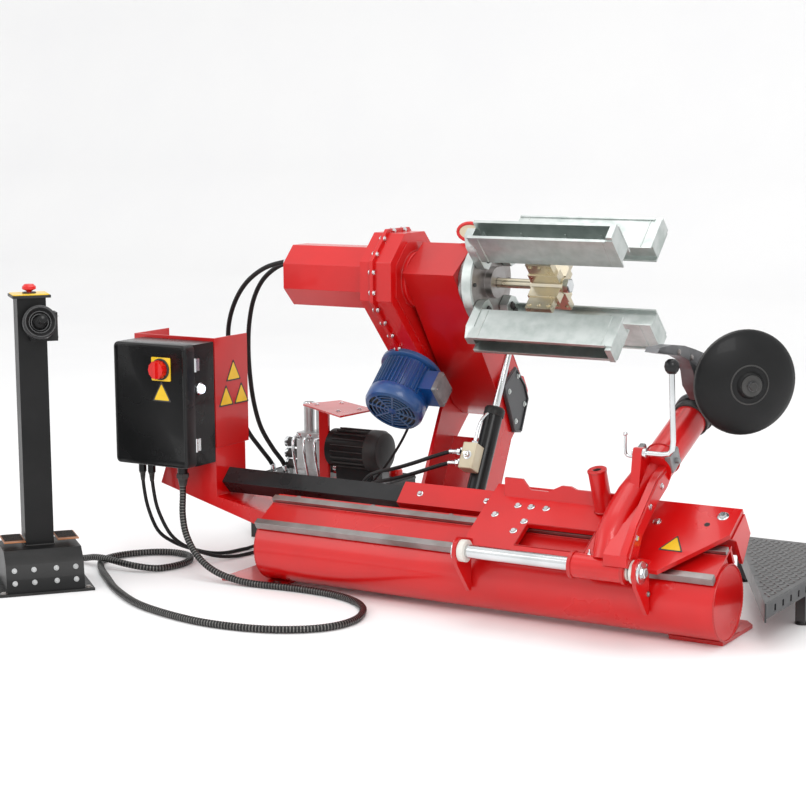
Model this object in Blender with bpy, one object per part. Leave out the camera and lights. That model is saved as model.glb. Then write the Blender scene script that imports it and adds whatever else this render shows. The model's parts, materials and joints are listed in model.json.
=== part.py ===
"""Hydraulic truck tyre changer: bed, carriage with tool arm, mandrel arm with chuck, pump and controls.

Metres, +Z up, +Y to the rear. Stations along the machine are set out from the bed tube's right end.
"""
import math

import bmesh
import bpy
from mathutils import Matrix, Vector

for old in list(bpy.data.objects):
    bpy.data.objects.remove(old)

# Main dimensions
TUBE_END = 0.09
TUBE_RADIUS = 0.1095
TUBE_LENGTH = 1.5485
TUBE_HEIGHT = 0.1215
GAP = 0.0005
BED = (-0.0676, 0.234)
BED_RUN = (0.857, 0.515)
BEAM = (0.108, 0.290)
BEAM_SIDE = 0.060
SLEEVE_SIDE = 0.080
SHAFT = (-0.175, 0.222)
SHAFT_RADIUS = 0.020
CHUCK = (0.377, 0.954)
SPINDLE_RADIUS = 0.029
PIVOT = (0.670, 0.545)
PIVOT_RADIUS = 0.025
ARM_DOWN = (0.572, -0.820)
ARM_BACK = (0.820, 0.572)
ARM_CORNER = (0.270, 0.980)
LIFT_X = -0.985
LIFT_FOOT = (0.250, 0.170)
LIFT_HEAD = (0.558, 0.757)
MOTOR_X = -1.300
MOTOR_FACE = (0.455, 0.646)
MOTOR_RUN = (-0.7335, -0.6797)
MOTOR_RADIUS = 0.092
LAYSHAFT = (CHUCK[0] + 0.1355 * ARM_DOWN[0], CHUCK[1] + 0.1355 * ARM_DOWN[1])
HEAD_LOW = (-0.250, 0.052, 0.470)
HEAD_TOP = (-0.250, 0.352, 0.603)
HEAD_RADIUS = 0.050
LEVER = (0.0, 0.525)
DISC_CENTRE = (-0.015, 0.175, 0.715)
DISC_NORMAL = (0.710, -0.760, -0.060)
DISC_RADIUS = 0.152
SWITCH = (-1.895, 0.677)
BUTTON = (-0.045, 0.611)
STAND = (-2.168, -0.415)
STAND_YAW = math.radians(50.0)

parts = bpy.data.collections.new("tire_changer")
helpers = bpy.data.collections.new("cutters")
bpy.context.scene.collection.children.link(parts)
bpy.context.scene.collection.children.link(helpers)
helpers.hide_render = True

COLOURS = {
    "red": (0.45, 0.02, 0.015),
    "black": (0.02, 0.02, 0.022),
    "steel": (0.55, 0.55, 0.56),
    "zinc": (0.62, 0.56, 0.36),
    "grey": (0.42, 0.43, 0.44),
    "blue": (0.02, 0.12, 0.42),
    "rubber": (0.015, 0.015, 0.015),
    "copper": (0.50, 0.26, 0.14),
}


def shift(x, y, z):
    """A point given from the tube's end, in the model's frame."""
    return Vector((x + TUBE_END, y, z))


def across(y=0.0, z=0.0):
    """A frame with its plane facing along X: outline (y, z), height x."""
    return Matrix(((0, 0, 1, TUBE_END), (1, 0, 0, y), (0, 1, 0, z), (0, 0, 0, 1)))


def flat():
    """A frame with outline (x, y) and height z."""
    return Matrix.Translation((TUBE_END, 0, 0))


def upright():
    """A frame with outline (x, z) and height -y."""
    return Matrix(((1, 0, 0, TUBE_END), (0, 0, -1, 0), (0, 1, 0, 0), (0, 0, 0, 1)))


def along(start, end):
    """A frame at start whose height axis runs to end."""
    run = (Vector(end) - Vector(start)).normalized()
    side = Vector((1, 0, 0)) if abs(run.x) < 0.9 else Vector((0, 1, 0))
    first = (side - run * side.dot(run)).normalized()
    second = run.cross(first)
    frame = Matrix.Identity(4)
    for row in range(3):
        frame[row][0] = first[row]
        frame[row][1] = second[row]
        frame[row][2] = run[row]
        frame[row][3] = start[row]
    return frame


def stand_frame():
    return Matrix.Translation(shift(STAND[0], STAND[1], 0)) @ Matrix.Rotation(STAND_YAW - math.pi / 2, 4,
        "Z")


def closed(shape, frame):
    bmesh.ops.transform(shape, matrix=frame, verts=shape.verts)
    bmesh.ops.recalc_face_normals(shape, faces=shape.faces)
    mesh = bpy.data.meshes.new("solid")
    shape.to_mesh(mesh)
    shape.free()
    return mesh


def prism(outline, frame, low, high):
    shape = bmesh.new()
    count = len(outline)
    bottom = [shape.verts.new((u, v, low)) for u, v in outline]
    top = [shape.verts.new((u, v, high)) for u, v in outline]
    shape.faces.new(bottom[::-1])
    shape.faces.new(top)
    for i in range(count):
        j = (i + 1) % count
        shape.faces.new((bottom[i], bottom[j], top[j], top[i]))
    return closed(shape, frame)


def rectangle(u0, u1, v0, v1):
    return [(u0, v0), (u1, v0), (u1, v1), (u0, v1)]


def block(x0, x1, y0, y1, z0, z1):
    return prism(rectangle(x0, x1, y0, y1), flat(), z0, z1)


def turned(profile, frame, steps=32, ring=False):
    """A profile of (radius, height) turned about the frame's height axis; ring joins its ends."""
    shape = bmesh.new()
    rows = []
    for radius, height in profile:
        if radius == 0:
            rows.append([shape.verts.new((0, 0, height))] * steps)
            continue
        turn = [2 * math.pi * i / steps for i in range(steps)]
        rows.append([shape.verts.new((radius * math.cos(a), radius * math.sin(a), height)) for a in turn])
    pairs = list(zip(rows, rows[1:]))
    if ring:
        pairs.append((rows[-1], rows[0]))
    for one, two in pairs:
        for i in range(steps):
            j = (i + 1) % steps
            corners = list(dict.fromkeys((one[i], one[j], two[j], two[i])))
            if len(corners) > 2:
                shape.faces.new(corners)
    return closed(shape, frame)


def rod(start, end, radius, steps=24):
    length = (Vector(end) - Vector(start)).length
    return turned([(0, 0), (radius, 0), (radius, length), (0, length)], along(start, end), steps)


def pipe(start, end, outer, inner, steps=32):
    length = (Vector(end) - Vector(start)).length
    profile = [(inner, 0), (outer, 0), (outer, length), (inner, length)]
    return turned(profile, along(start, end), steps, ring=True)


def ball(centre, radius, steps=16):
    shape = bmesh.new()
    bmesh.ops.create_uvsphere(shape, u_segments=steps, v_segments=steps // 2, radius=radius)
    return closed(shape, Matrix.Translation(centre))


def swept(points, radius, steps=10, loop=False):
    """A round bar through the points; each point may carry its own radius."""
    points = [Vector(p) for p in points]
    count = len(points)
    radii = radius if isinstance(radius, (list, tuple)) else [radius] * count
    shape = bmesh.new()
    rows = []
    side = None
    for i, point in enumerate(points):
        before = points[i - 1] if loop or i else point
        after = points[(i + 1) % count] if loop or i < count - 1 else point
        run = (after - before).normalized()
        if side is None:
            side = Vector((0, 0, 1)) if abs(run.z) < 0.9 else Vector((1, 0, 0))
        side = (side - run * side.dot(run)).normalized()
        other = run.cross(side)
        row = []
        for k in range(steps):
            turn = 2 * math.pi * k / steps
            row.append(shape.verts.new(point + radii[i] * (math.cos(turn) * side + math.sin(turn) * other)))
        rows.append(row)
    pairs = list(zip(rows, rows[1:]))
    if loop:
        pairs.append((rows[-1], rows[0]))
    for one, two in pairs:
        for k in range(steps):
            m = (k + 1) % steps
            shape.faces.new((one[k], one[m], two[m], two[k]))
    if not loop:
        shape.faces.new(rows[0][::-1])
        shape.faces.new(rows[-1])
    return closed(shape, Matrix.Identity(4))


def inset(outline, depth):
    """A convex outline moved inward."""
    area = sum(a[0] * b[1] - b[0] * a[1] for a, b in zip(outline, outline[1:] + outline[:1]))
    sign = 1 if area > 0 else -1
    result = []
    for i, corner in enumerate(outline):
        here = Vector(corner)
        one = (here - Vector(outline[i - 1])).normalized()
        two = (Vector(outline[(i + 1) % len(outline)]) - here).normalized()
        first = Vector((-one.y, one.x)) * sign
        second = Vector((-two.y, two.x)) * sign
        move = (first + second) / (1 + first.dot(second))
        result.append(tuple(here + depth * move))
    return result


def colour(name, key):
    material = bpy.data.materials.new(name)
    material.use_nodes = True
    shader = material.node_tree.nodes["Principled BSDF"]
    shader.inputs["Base Color"].default_value = (*COLOURS[key], 1)
    material.diffuse_color = (*COLOURS[key], 1)
    return material


def helper(mesh):
    cutter = bpy.data.objects.new("cutter", mesh)
    cutter.hide_render = True
    cutter.display_type = "WIRE"
    helpers.objects.link(cutter)
    return cutter


def piece(name, key, solids, cuts=(), origin=(0, 0, 0)):
    """One named part: its solids joined, then its cuts taken out."""
    base = solids[0]
    base.transform(Matrix.Translation(-Vector(origin)))
    obj = bpy.data.objects.new(name, base)
    obj.location = origin
    obj.data.materials.append(colour(name, key))
    parts.objects.link(obj)
    work = [("UNION", mesh) for mesh in solids[1:]] + [("DIFFERENCE", mesh) for mesh in cuts]
    for operation, mesh in work:
        modifier = obj.modifiers.new(operation.lower(), "BOOLEAN")
        modifier.operation = operation
        modifier.solver = "EXACT"
        modifier.object = helper(mesh)
    return obj


def smooth_route(route, spacing):
    """A smooth curve through the route's points, with a point about every spacing."""
    route = [Vector(p) for p in route]
    fine = []
    for i in range(len(route) - 1):
        a = route[i - 1] if i else 2 * route[0] - route[1]
        b = route[i]
        c = route[i + 1]
        d = route[i + 2] if i + 2 < len(route) else 2 * c - b
        for k in range(12):
            t = k / 12
            fine.append(0.5 * (2 * b + (c - a) * t + (2 * a - 5 * b + 4 * c - d) * t * t
                               + (3 * b - a - 3 * c + d) * t ** 3))
    fine.append(route[-1])
    total = sum((q - p).length for p, q in zip(fine, fine[1:]))
    count = max(4, round(total / spacing))
    step = total / count
    result = [fine[0]]
    travelled = 0.0
    for p, q in zip(fine, fine[1:]):
        length = (q - p).length
        while length > 0 and travelled + length >= step * len(result) and len(result) < count:
            result.append(p.lerp(q, (step * len(result) - travelled) / length))
        travelled += length
    result.append(fine[-1])
    return result


def cord(name, key, route, diameter, spacing):
    points = smooth_route([shift(*p) for p in route], spacing)
    for point in points:
        point.z = max(point.z, diameter / 2 + 0.0004)
    curve = bpy.data.curves.new(name, "CURVE")
    curve.dimensions = "3D"
    curve.bevel_depth = diameter / 2
    curve.bevel_resolution = 2
    curve.use_fill_caps = True
    spline = curve.splines.new("POLY")
    spline.points.add(len(points) - 1)
    for slot, point in zip(spline.points, points):
        slot.co = (*point, 1)
    obj = bpy.data.objects.new(name, curve)
    obj.data.materials.append(colour(name, key))
    parts.objects.link(obj)
    return obj


def gear_outline(teeth, pitch_radius, centre, first_tooth):
    """Straight-sided teeth, slim enough to run with clear backlash."""
    step = 2 * math.pi / teeth
    tip = pitch_radius + 0.0036
    root = pitch_radius - 0.0058
    points = []
    for i in range(teeth):
        middle = first_tooth + i * step
        for radius, offset in ((root, -0.25), (tip, -0.10), (tip, 0.10), (root, 0.25)):
            turn = middle + offset * step
            points.append((centre[0] + radius * math.cos(turn), centre[1] + radius * math.sin(turn)))
    return points


def diamond(centre, side):
    half = side / math.sqrt(2)
    return [(centre[0] - half, centre[1]), (centre[0], centre[1] - half),
            (centre[0] + half, centre[1]), (centre[0], centre[1] + half)]


def bed_outline(s0, s1, n0, n1):
    """A rectangle on the sloping bed: s up the slope, n out from it."""
    cy, cz = BED
    run, rise = BED_RUN
    return [(cy + run * s - rise * n, cz + rise * s + run * n)
            for s, n in ((s0, n0), (s1, n0), (s1, n1), (s0, n1))]


def slope_frame():
    """A frame with outline (x, s) on the carriage slope and height c square to it."""
    run, rise = BED_RUN
    return Matrix(((1, 0, 0, TUBE_END), (0, run, -rise, 0), (0, rise, run, 0), (0, 0, 0, 1)))


def on_arm(t, depth):
    return (ARM_CORNER[0] + t * ARM_DOWN[0] + depth * ARM_BACK[0],
            ARM_CORNER[1] + t * ARM_DOWN[1] + depth * ARM_BACK[1])


def on_motor(t):
    return (MOTOR_FACE[0] + t * MOTOR_RUN[0], MOTOR_FACE[1] + t * MOTOR_RUN[1])


def bed():
    wall = 0.008
    profile = [(0, -0.012), (TUBE_RADIUS - wall, -0.012), (TUBE_RADIUS - wall, -TUBE_LENGTH),
               (TUBE_RADIUS, -TUBE_LENGTH), (TUBE_RADIUS, 0), (0, 0)]
    piece("bed_tube", "red", [turned(profile, across(0, TUBE_HEIGHT), 48)])
    web = bed_outline(0.095, 0.105, -0.074, -0.0165)
    piece("bed_plate", "red", [prism(bed_outline(-0.0245, 0.110, -0.0212, -0.0145), across(), -1.5485,
                                     -0.005),
                               prism(web, across(), -1.548, -0.0055)])
    piece("front_rail", "steel", [prism(bed_outline(-0.047, -0.025, -0.0243, 0), across(), -1.5485,
                                        -0.005)])
    piece("rear_rail", "steel", [prism(bed_outline(0.068, 0.090, -0.014, 0), across(), -1.5485, -0.005)])
    foot = [(-0.169, -0.02), (-0.005, -0.02), (-0.005, 0.205), (-0.035, 0.24), (-0.169, 0.24)]
    piece("foot_right", "red", [prism(foot, flat(), 0, 0.0118),
                                prism([(0.075, 0.0110), (0.170, 0.0110), (0.0915, 0.058)], across(), -0.040,
                                      -0.032)])
    gusset = [(-2.03, 0.270), (-1.64, 0.165), (-1.5605, 0.165), (-1.5605, 0.200), (-1.80, 0.245),
              (-1.80, 0.4045), (-1.98, 0.4045)]
    pocket = [(-2.01, 0.272), (-1.64, 0.172), (-1.57, 0.172), (-1.57, 0.193), (-1.808, 0.238),
              (-1.808, 0.3965), (-1.975, 0.3965)]
    piece("left_support", "red",
          [block(-1.70, -1.48, -0.08, 0.20, 0, 0.0118), block(-1.561, -1.549, -0.02, 0.20, 0.005, 0.235),
           prism(gusset, upright(), -0.200, -0.0365)],
          [prism(pocket, upright(), -0.25, -0.0425)])
    piece("guide_beam", "black", [prism(diamond(BEAM, BEAM_SIDE), across(), -1.7995, -0.52)],
          [prism(diamond(BEAM, BEAM_SIDE - 0.010), across(), -1.85, -0.45)])


def control_cabinet():
    piece("box_bracket", "red",
          [block(-2.13, -1.80, 0.040, 0.046, 0.405, 0.765), block(-1.806, -1.80, 0.045, 0.22, 0.405, 0.765),
           block(-2.13, -2.124, 0.045, 0.22, 0.405, 0.765), block(-2.1295, -1.8005, 0.0455, 0.20, 0.4055,
                                                                  0.411)])
    glands = [rod(shift(x, y, 0.315), shift(x, y, 0.362), radius, 16)
              for x, y, radius in ((-1.887, -0.030, 0.017), (-2.061, -0.020, 0.013),
                                   (-2.023, -0.020, 0.013))]
    piece("control_box", "black", [block(-2.09, -1.80, -0.0695, 0.035, 0.36, 0.755)] + glands,
          [block(-2.087, -1.803, -0.08, 0.032, 0.363, 0.752),
           rod(shift(-1.81, *BUTTON), shift(-1.79, *BUTTON), 0.0146, 24)])
    hinge = shift(-1.80, -0.0700, 0.56)
    x, z = SWITCH
    piece("box_door", "black", [block(-2.09, -1.80, -0.12, -0.0700, 0.36, 0.755)],
          [block(-2.087, -1.803, -0.117, -0.06, 0.363, 0.752),
           rod(shift(x, -0.13, z), shift(x, -0.10, z), 0.0065, 16)], hinge)
    piece("rotary_switch", "red",
          [rod(shift(x, -0.150, z), shift(x, -0.1205, z), 0.028, 24),
           rod(shift(x, -0.122, z), shift(x, -0.108, z), 0.006, 16),
           block(x - 0.006, x + 0.006, -0.158, -0.149, z - 0.026, z + 0.026)], (), shift(x, -0.12, z))
    piece("start_button", "grey", [rod(shift(-1.7995, *BUTTON), shift(-1.785, *BUTTON), 0.014, 24)], (),
          shift(-1.80, *BUTTON))


def rear_column():
    cheek = [(0.264, 0.004), (0.540, 0.545), (0.590, 0.602), (0.650, 0.630), (0.715, 0.610), (0.745, 0.560),
             (0.735, 0.500), (0.628, 0.410), (0.434, 0.004)]
    web = [(0.430, 0.008), (0.612, 0.405), (0.600, 0.410), (0.415, 0.008)]
    lug = [(0.215, 0.10), (0.300, 0.10), (0.290, 0.185), (0.262, 0.203), (0.235, 0.200), (0.215, 0.170)]
    foot = shift(LIFT_X, *LIFT_FOOT)
    solids = [block(-1.30, -0.96, 0.13, 0.62, 0, 0.012), prism(cheek, across(), -1.240, -1.228),
              prism(cheek, across(), -1.037, -1.025), prism(web, across(), -1.235, -1.03),
              block(-1.20, -1.06, 0.1108, 0.42, 0.011, 0.190), prism(lug, across(), -1.075, -1.050),
              rod(foot - Vector((0.078, 0, 0)), foot + Vector((0.028, 0, 0)), 0.012, 24)]
    cuts = [block(-1.192, -1.068, 0.10, 0.36, 0.019, 0.182),
            rod(shift(-1.26, *PIVOT), shift(-1.0, *PIVOT), PIVOT_RADIUS + GAP, 32)]
    piece("rear_base", "red", solids, cuts)
    piece("arm_pivot_pin", "steel", [rod(shift(-1.252, *PIVOT), shift(-1.024, *PIVOT), PIVOT_RADIUS, 32)])
    guard = [(0.551, 0.600), (0.628, 0.434), (0.677, 0.427), (0.727, 0.535), (0.705, 0.585), (0.641, 0.652)]
    piece("elbow_guard", "grey", [prism(guard, across(), -1.0225, -1.0145)])


GEARBOX = [(0.227, 0.892), (0.227, 1.016), (0.315, 1.104), (0.439, 1.104), (0.527, 1.016), (0.675, 0.805),
           (0.660, 0.660), (0.530, 0.565)][::-1]


def octagon(centre, half):
    part = half * math.tan(math.pi / 8)
    return [(centre[0] + u, centre[1] + v)
            for u, v in ((half, -part), (half, part), (part, half), (-part, half),
                         (-half, part), (-half, -part), (-part, -half), (part, -half))]


def mandrel_arm():
    outline = [on_arm(0, 0), on_arm(0, 0.16), on_arm(0.56, 0.16), on_arm(0.635, 0.125), on_arm(0.66, 0.079),
               on_arm(0.635, 0.035), on_arm(0.56, 0)]
    inner = [on_arm(0.17, 0.012), on_arm(0.17, 0.148), on_arm(0.50, 0.148), on_arm(0.50, 0.012)]
    head = shift(LIFT_X, *LIFT_HEAD)
    pivot = shift(-1.1325, *PIVOT)
    piece("mandrel_arm", "red",
          [prism(outline, across(), -1.225, -1.040), rod(head - Vector((0.060, 0, 0)),
                                                         head + Vector((0.030, 0, 0)),
                                                         0.012, 24)],
          [prism(inner, across(), -1.213, -1.052), prism([on_arm(0.30, 0.03), on_arm(0.30, 0.09),
                                                          on_arm(0.22, 0.09), on_arm(0.22, 0.03)],
                                                         across(), -1.23, -1.20),
           rod(shift(-1.30, *CHUCK), shift(-1.0, *CHUCK), 0.046, 32),
           rod(shift(-1.30, *PIVOT), shift(-1.0, *PIVOT), PIVOT_RADIUS + GAP, 32)], pivot)
    cavity = inset(GEARBOX, 0.010)
    bore = rod(shift(-1.40, *CHUCK), shift(-1.20, *CHUCK), 0.0305, 32)
    shaft_hole = rod(shift(MOTOR_X, *on_motor(0.02)), shift(MOTOR_X, *on_motor(-0.06)), 0.017, 24)
    piece("gearbox_left_half", "red", [prism(GEARBOX, across(), -1.357, -1.3083)],
          [prism(cavity, across(), -1.347, -1.29), bore, shaft_hole], pivot)
    piece("gearbox_right_half", "red",
          [prism(GEARBOX, across(), -1.3077, -1.2415), rod(shift(-1.243, *CHUCK), shift(-1.2255, *CHUCK),
                                                           0.090, 32)],
          [prism(cavity, across(), -1.33, -1.2515), bore.copy(), shaft_hole.copy()], pivot)
    piece("rotary_housing", "red", [prism(octagon(CHUCK, 0.099), across(), -1.690, -1.3575)],
          [rod(shift(-1.678, *CHUCK), shift(-1.35, *CHUCK), 0.080, 32)], pivot)
    motor_frame = along(shift(MOTOR_X, *on_motor(0.0005)), shift(MOTOR_X, *on_motor(0.1)))
    profile = [(0.0165, 0), (0.088, 0), (0.088, 0.018), (MOTOR_RADIUS, 0.020), (MOTOR_RADIUS, 0.160),
               (0.084, 0.170), (0, 0.170), (0, 0.120), (0.0165, 0.120)]
    low = on_motor(0.035)
    box_frame = along(shift(MOTOR_X, *low), shift(MOTOR_X, *on_motor(0.1)))
    piece("motor", "blue", [turned(profile, motor_frame, 32, ring=True),
                            prism(rectangle(0.080, 0.135, -0.045, 0.045),
                                                                    box_frame, 0, 0.075)], (), pivot)
    piece("spindle_bearing", "steel", [pipe(shift(-1.0397, *CHUCK), shift(-1.0025, *CHUCK), 0.078, 0.046)],
          (), pivot)
    loop = []
    for i in range(20):
        turn = 2 * math.pi * i / 20
        loop.append(shift(-1.055 + 0.045 * math.cos(turn), 0.408, 1.108 + 0.028 * math.sin(turn)))
    piece("hose_hoop", "red", [swept(loop, 0.006, 8, loop=True)], (), pivot)


def chuck():
    axis = shift(-0.98, *CHUCK)
    profile = [(0.0165, -1.372), (SPINDLE_RADIUS, -1.372), (SPINDLE_RADIUS, -1.2245), (0.0448, -1.2245),
               (0.0448, -1.0), (0.128, -1.0), (0.128, -0.96), (0.050, -0.96), (0.050, -0.936),
               (0.0165, -0.936)]
    piece("chuck_spindle", "steel", [turned(profile, across(*CHUCK), 48, ring=True)], (), axis)
    tooth = math.atan2(ARM_DOWN[1], ARM_DOWN[0])
    piece("spindle_gear", "steel", [prism(gear_outline(40, 0.100, CHUCK, tooth), across(), -1.280, -1.256)],
          [rod(shift(-1.30, *CHUCK), shift(-1.20, *CHUCK), 0.0295, 32)], axis)
    solids = [rod(shift(-1.36, *CHUCK), shift(-0.800, *CHUCK), 0.0155, 24),
              rod(shift(-0.812, *CHUCK), shift(-0.700, *CHUCK), 0.026, 24)]
    for i in range(4):
        turn = Matrix.Rotation(math.pi / 4 + i * math.pi / 2, 4, "X")
        frame = Matrix.Translation(shift(0, *CHUCK)) @ turn @ Matrix(((0, 0, 1, 0), (1, 0, 0, 0),
                                                                      (0, 1, 0, 0), (0, 0, 0, 1)))
        solids.append(prism(rectangle(0.015, 0.105, -0.012, 0.012), frame, -0.800, -0.712))
    piece("chuck_rod", "zinc", solids, (), axis)
    for i in range(4):
        turn = Matrix.Rotation(math.pi / 4 + i * math.pi / 2, 4, "X")
        frame = Matrix.Translation(shift(0, *CHUCK)) @ turn @ Matrix(((0, 0, 1, 0), (1, 0, 0, 0),
                                                                      (0, 1, 0, 0), (0, 0, 0, 1)))
        hub = [(0.085, -0.020), (0.085, 0.020), (0.110, 0.036), (0.205, 0.036), (0.238, 0.015),
               (0.238, -0.015),
               (0.205, -0.036), (0.110, -0.036)]
        jaw = [prism(hub, frame, -0.9585, -0.930),
               prism(rectangle(0.150, 0.156, -0.030, 0.030), frame, -0.942, -0.452),
               prism(rectangle(0.135, 0.250, 0.0265, 0.0325), frame, -0.940, -0.450),
               prism(rectangle(0.135, 0.250, -0.0325, -0.0265), frame, -0.940, -0.450),
               prism([(0.152, -0.0300), (0.262, -0.028), (0.262, 0.028), (0.152, 0.0300)], frame, -0.470,
                     -0.451)]
        piece(f"jaw_{i + 1}", "zinc", jaw, (), axis)


def drive():
    tooth = math.atan2(ARM_DOWN[1], ARM_DOWN[0]) + math.pi + math.pi / 14
    solids = [prism(gear_outline(14, 0.035, LAYSHAFT, tooth), across(), -1.282, -1.2545),
              rod(shift(-1.345, *LAYSHAFT), shift(-1.2535, *LAYSHAFT), 0.016, 24),
              prism(gear_outline(36, 0.0962, LAYSHAFT, 0), across(), -1.318, -1.286)]
    piece("layshaft", "steel", solids, (), shift(-1.30, *LAYSHAFT))
    start = shift(MOTOR_X, *on_motor(0.110))
    piece("worm_shaft", "steel",
          [rod(start, shift(MOTOR_X, *on_motor(-0.205)), 0.0155, 24),
           rod(shift(MOTOR_X, *on_motor(-0.055)), shift(MOTOR_X, *on_motor(-0.190)), 0.038, 24)],
          (), shift(MOTOR_X, *on_motor(-0.1)))


def lift():
    foot = shift(LIFT_X, *LIFT_FOOT)
    head = shift(LIFT_X, *LIFT_HEAD)
    frame = along(foot, head)
    length = (head - foot).length
    eye = pipe(foot - Vector((0.016, 0, 0)), foot + Vector((0.016, 0, 0)), 0.030, 0.0127)
    profile = [(0, 0.024), (0.030, 0.024), (0.030, 0.405), (0.0125, 0.405), (0.0125, 0.388),
               (0.0245, 0.388),
               (0.0245, 0.060), (0, 0.060)]
    valve = prism(rectangle(-0.035, 0.010, -0.080, -0.0265), frame, 0.190, 0.272)
    piece("lift_barrel", "black", [eye, turned(profile, frame, 32), valve],
          [rod(foot - Vector((0.03, 0, 0)), foot + Vector((0.03, 0, 0)), 0.0127, 32)], foot)
    piece("lift_rod", "steel",
          [pipe(head - Vector((0.014, 0, 0)), head + Vector((0.014, 0, 0)), 0.030, 0.017),
           turned([(0, 0.160), (0.0238, 0.160), (0.0238, 0.180), (0.0115, 0.182), (0.0115, length - 0.020),
                   (0, length - 0.020)], frame, 24)],
          [rod(head - Vector((0.03, 0, 0)), head + Vector((0.03, 0, 0)), 0.017, 32)], foot)


def carriage():
    piece("carriage_sleeve", "red",
          [prism(diamond(BEAM, SLEEVE_SIDE), across(), -1.12, 0.0),
           prism([(0.117, 0.3550), (0.024, 0.2985), (0.056, 0.286), (0.108, 0.210), (0.164, 0.290)],
                 across(), -0.012, 0.0)],
          [prism(diamond(BEAM, BEAM_SIDE + 0.0012), across(), -1.13, -0.010)])
    outline = [(-0.772, 0.0), (-0.159, 0.0), (-0.004, 0.175), (-0.004, 0.285), (-0.790, 0.285),
               (-0.790, 0.060)]
    deck = prism(outline, slope_frame(), 0.245, 0.260)
    lug = [(-0.214, 0.214), (-0.198, 0.180), (-0.126, 0.090), (-0.1145, 0.090), (-0.1145, 0.226),
           (-0.100, 0.238),
           (-0.110, 0.246), (-0.150, 0.256), (-0.180, 0.262), (-0.205, 0.250)]
    notch = [(-0.745, 0.336), (-0.745, 0.400), (-0.685, 0.400), (-0.660, 0.370), (-0.600, 0.370),
             (-0.555, 0.392),
             (-0.525, 0.392), (-0.505, 0.384), (-0.310, 0.384), (-0.310, 0.336)][::-1]
    hole = rod(shift(-0.80, *SHAFT), shift(-0.15, *SHAFT), SHAFT_RADIUS + GAP, 32)
    piece("carriage_plate", "red",
          [deck, prism(lug, across(), -0.771, -0.759), prism(lug, across(), -0.201, -0.189),
           prism(notch, upright(), -0.0755, -0.0655),
           rod(shift(-0.411, 0.0575, 0.332), shift(-0.420, 0.025, 0.458), 0.0275, 24)],
          [prism(rectangle(-0.620, -0.400, 0.035, 0.125), slope_frame(), 0.20, 0.30),
           rod(shift(-0.4178, 0.0327, 0.428), shift(-0.4208, 0.0223, 0.468), 0.0120, 20), hole])
    piece("tool_shaft", "steel", [rod(shift(-0.783, *SHAFT), shift(-0.181, *SHAFT), SHAFT_RADIUS, 32)])


def tool_arm():
    pin = shift(-0.3125, *SHAFT)
    piece("arm_bushing", "grey", [pipe(shift(-0.405, *SHAFT), shift(-0.220, *SHAFT), 0.0260, 0.0205)], (),
          pin)
    side = [(-0.190, 0.250), (-0.214, 0.240), (-0.214, 0.272), (-0.126, 0.342), (-0.041, 0.392),
            (0.030, 0.436),
            (0.048, 0.462), (0.075, 0.440), (0.060, 0.422), (-0.020, 0.380), (-0.115, 0.305),
            (-0.150, 0.262)]
    web = [(-0.205, 0.237), (-0.216, 0.276), (-0.150, 0.350), (-0.060, 0.425), (-0.010, 0.465),
           (0.045, 0.485),
           (0.100, 0.465), (0.058, 0.424), (-0.018, 0.384), (-0.113, 0.310), (-0.147, 0.240)]
    run = (Vector(HEAD_TOP) - Vector(HEAD_LOW)).normalized()
    low = shift(*HEAD_LOW)
    tube = rod(low, low + 0.300 * run, HEAD_RADIUS, 40)
    elbow = swept([shift(-0.302, -0.170, 0.240), shift(-0.302, -0.135, 0.300), shift(-0.300, -0.080, 0.350),
                   shift(-0.293, -0.010, 0.400), shift(-0.272, 0.060, 0.452), shift(-0.252, 0.120, 0.498)],
                  [0.036, 0.042, 0.044, 0.045, 0.045, 0.040], 20)
    lug = [(-0.034, 0.410), (-0.016, 0.525), (-0.009, 0.540), (0.009, 0.540), (0.018, 0.528),
           (0.055, 0.500),
           (0.060, 0.450)]
    piece("tool_arm", "red",
          [pipe(shift(-0.400, *SHAFT), shift(-0.225, *SHAFT), 0.0355, 0.0268),
           prism(side, across(), -0.285, -0.214),
           elbow, prism(web, across(), -0.233, -0.2125), tube, prism(lug, across(), -0.290, -0.262)],
          [rod(shift(-0.42, *SHAFT), shift(-0.20, *SHAFT), 0.0268, 32),
           rod(low + 0.240 * run, low + 0.310 * run, 0.0302, 32),
           rod(shift(-0.31, *LEVER), shift(-0.24, *LEVER), 0.0094, 16)], pin)
    lever = [shift(-0.297, *LEVER), shift(-0.205, *LEVER), shift(-0.184, 0.0, 0.529),
             shift(-0.175, 0.0, 0.541),
             shift(-0.172, 0.0, 0.565), shift(-0.176, 0.0, 0.680), shift(-0.179, 0.0, 0.765)]
    piece("lock_lever", "steel", [swept(lever, 0.0080, 12), ball(shift(-0.179, 0.0, 0.778), 0.0210)], (),
          shift(-0.275, *LEVER))


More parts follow.
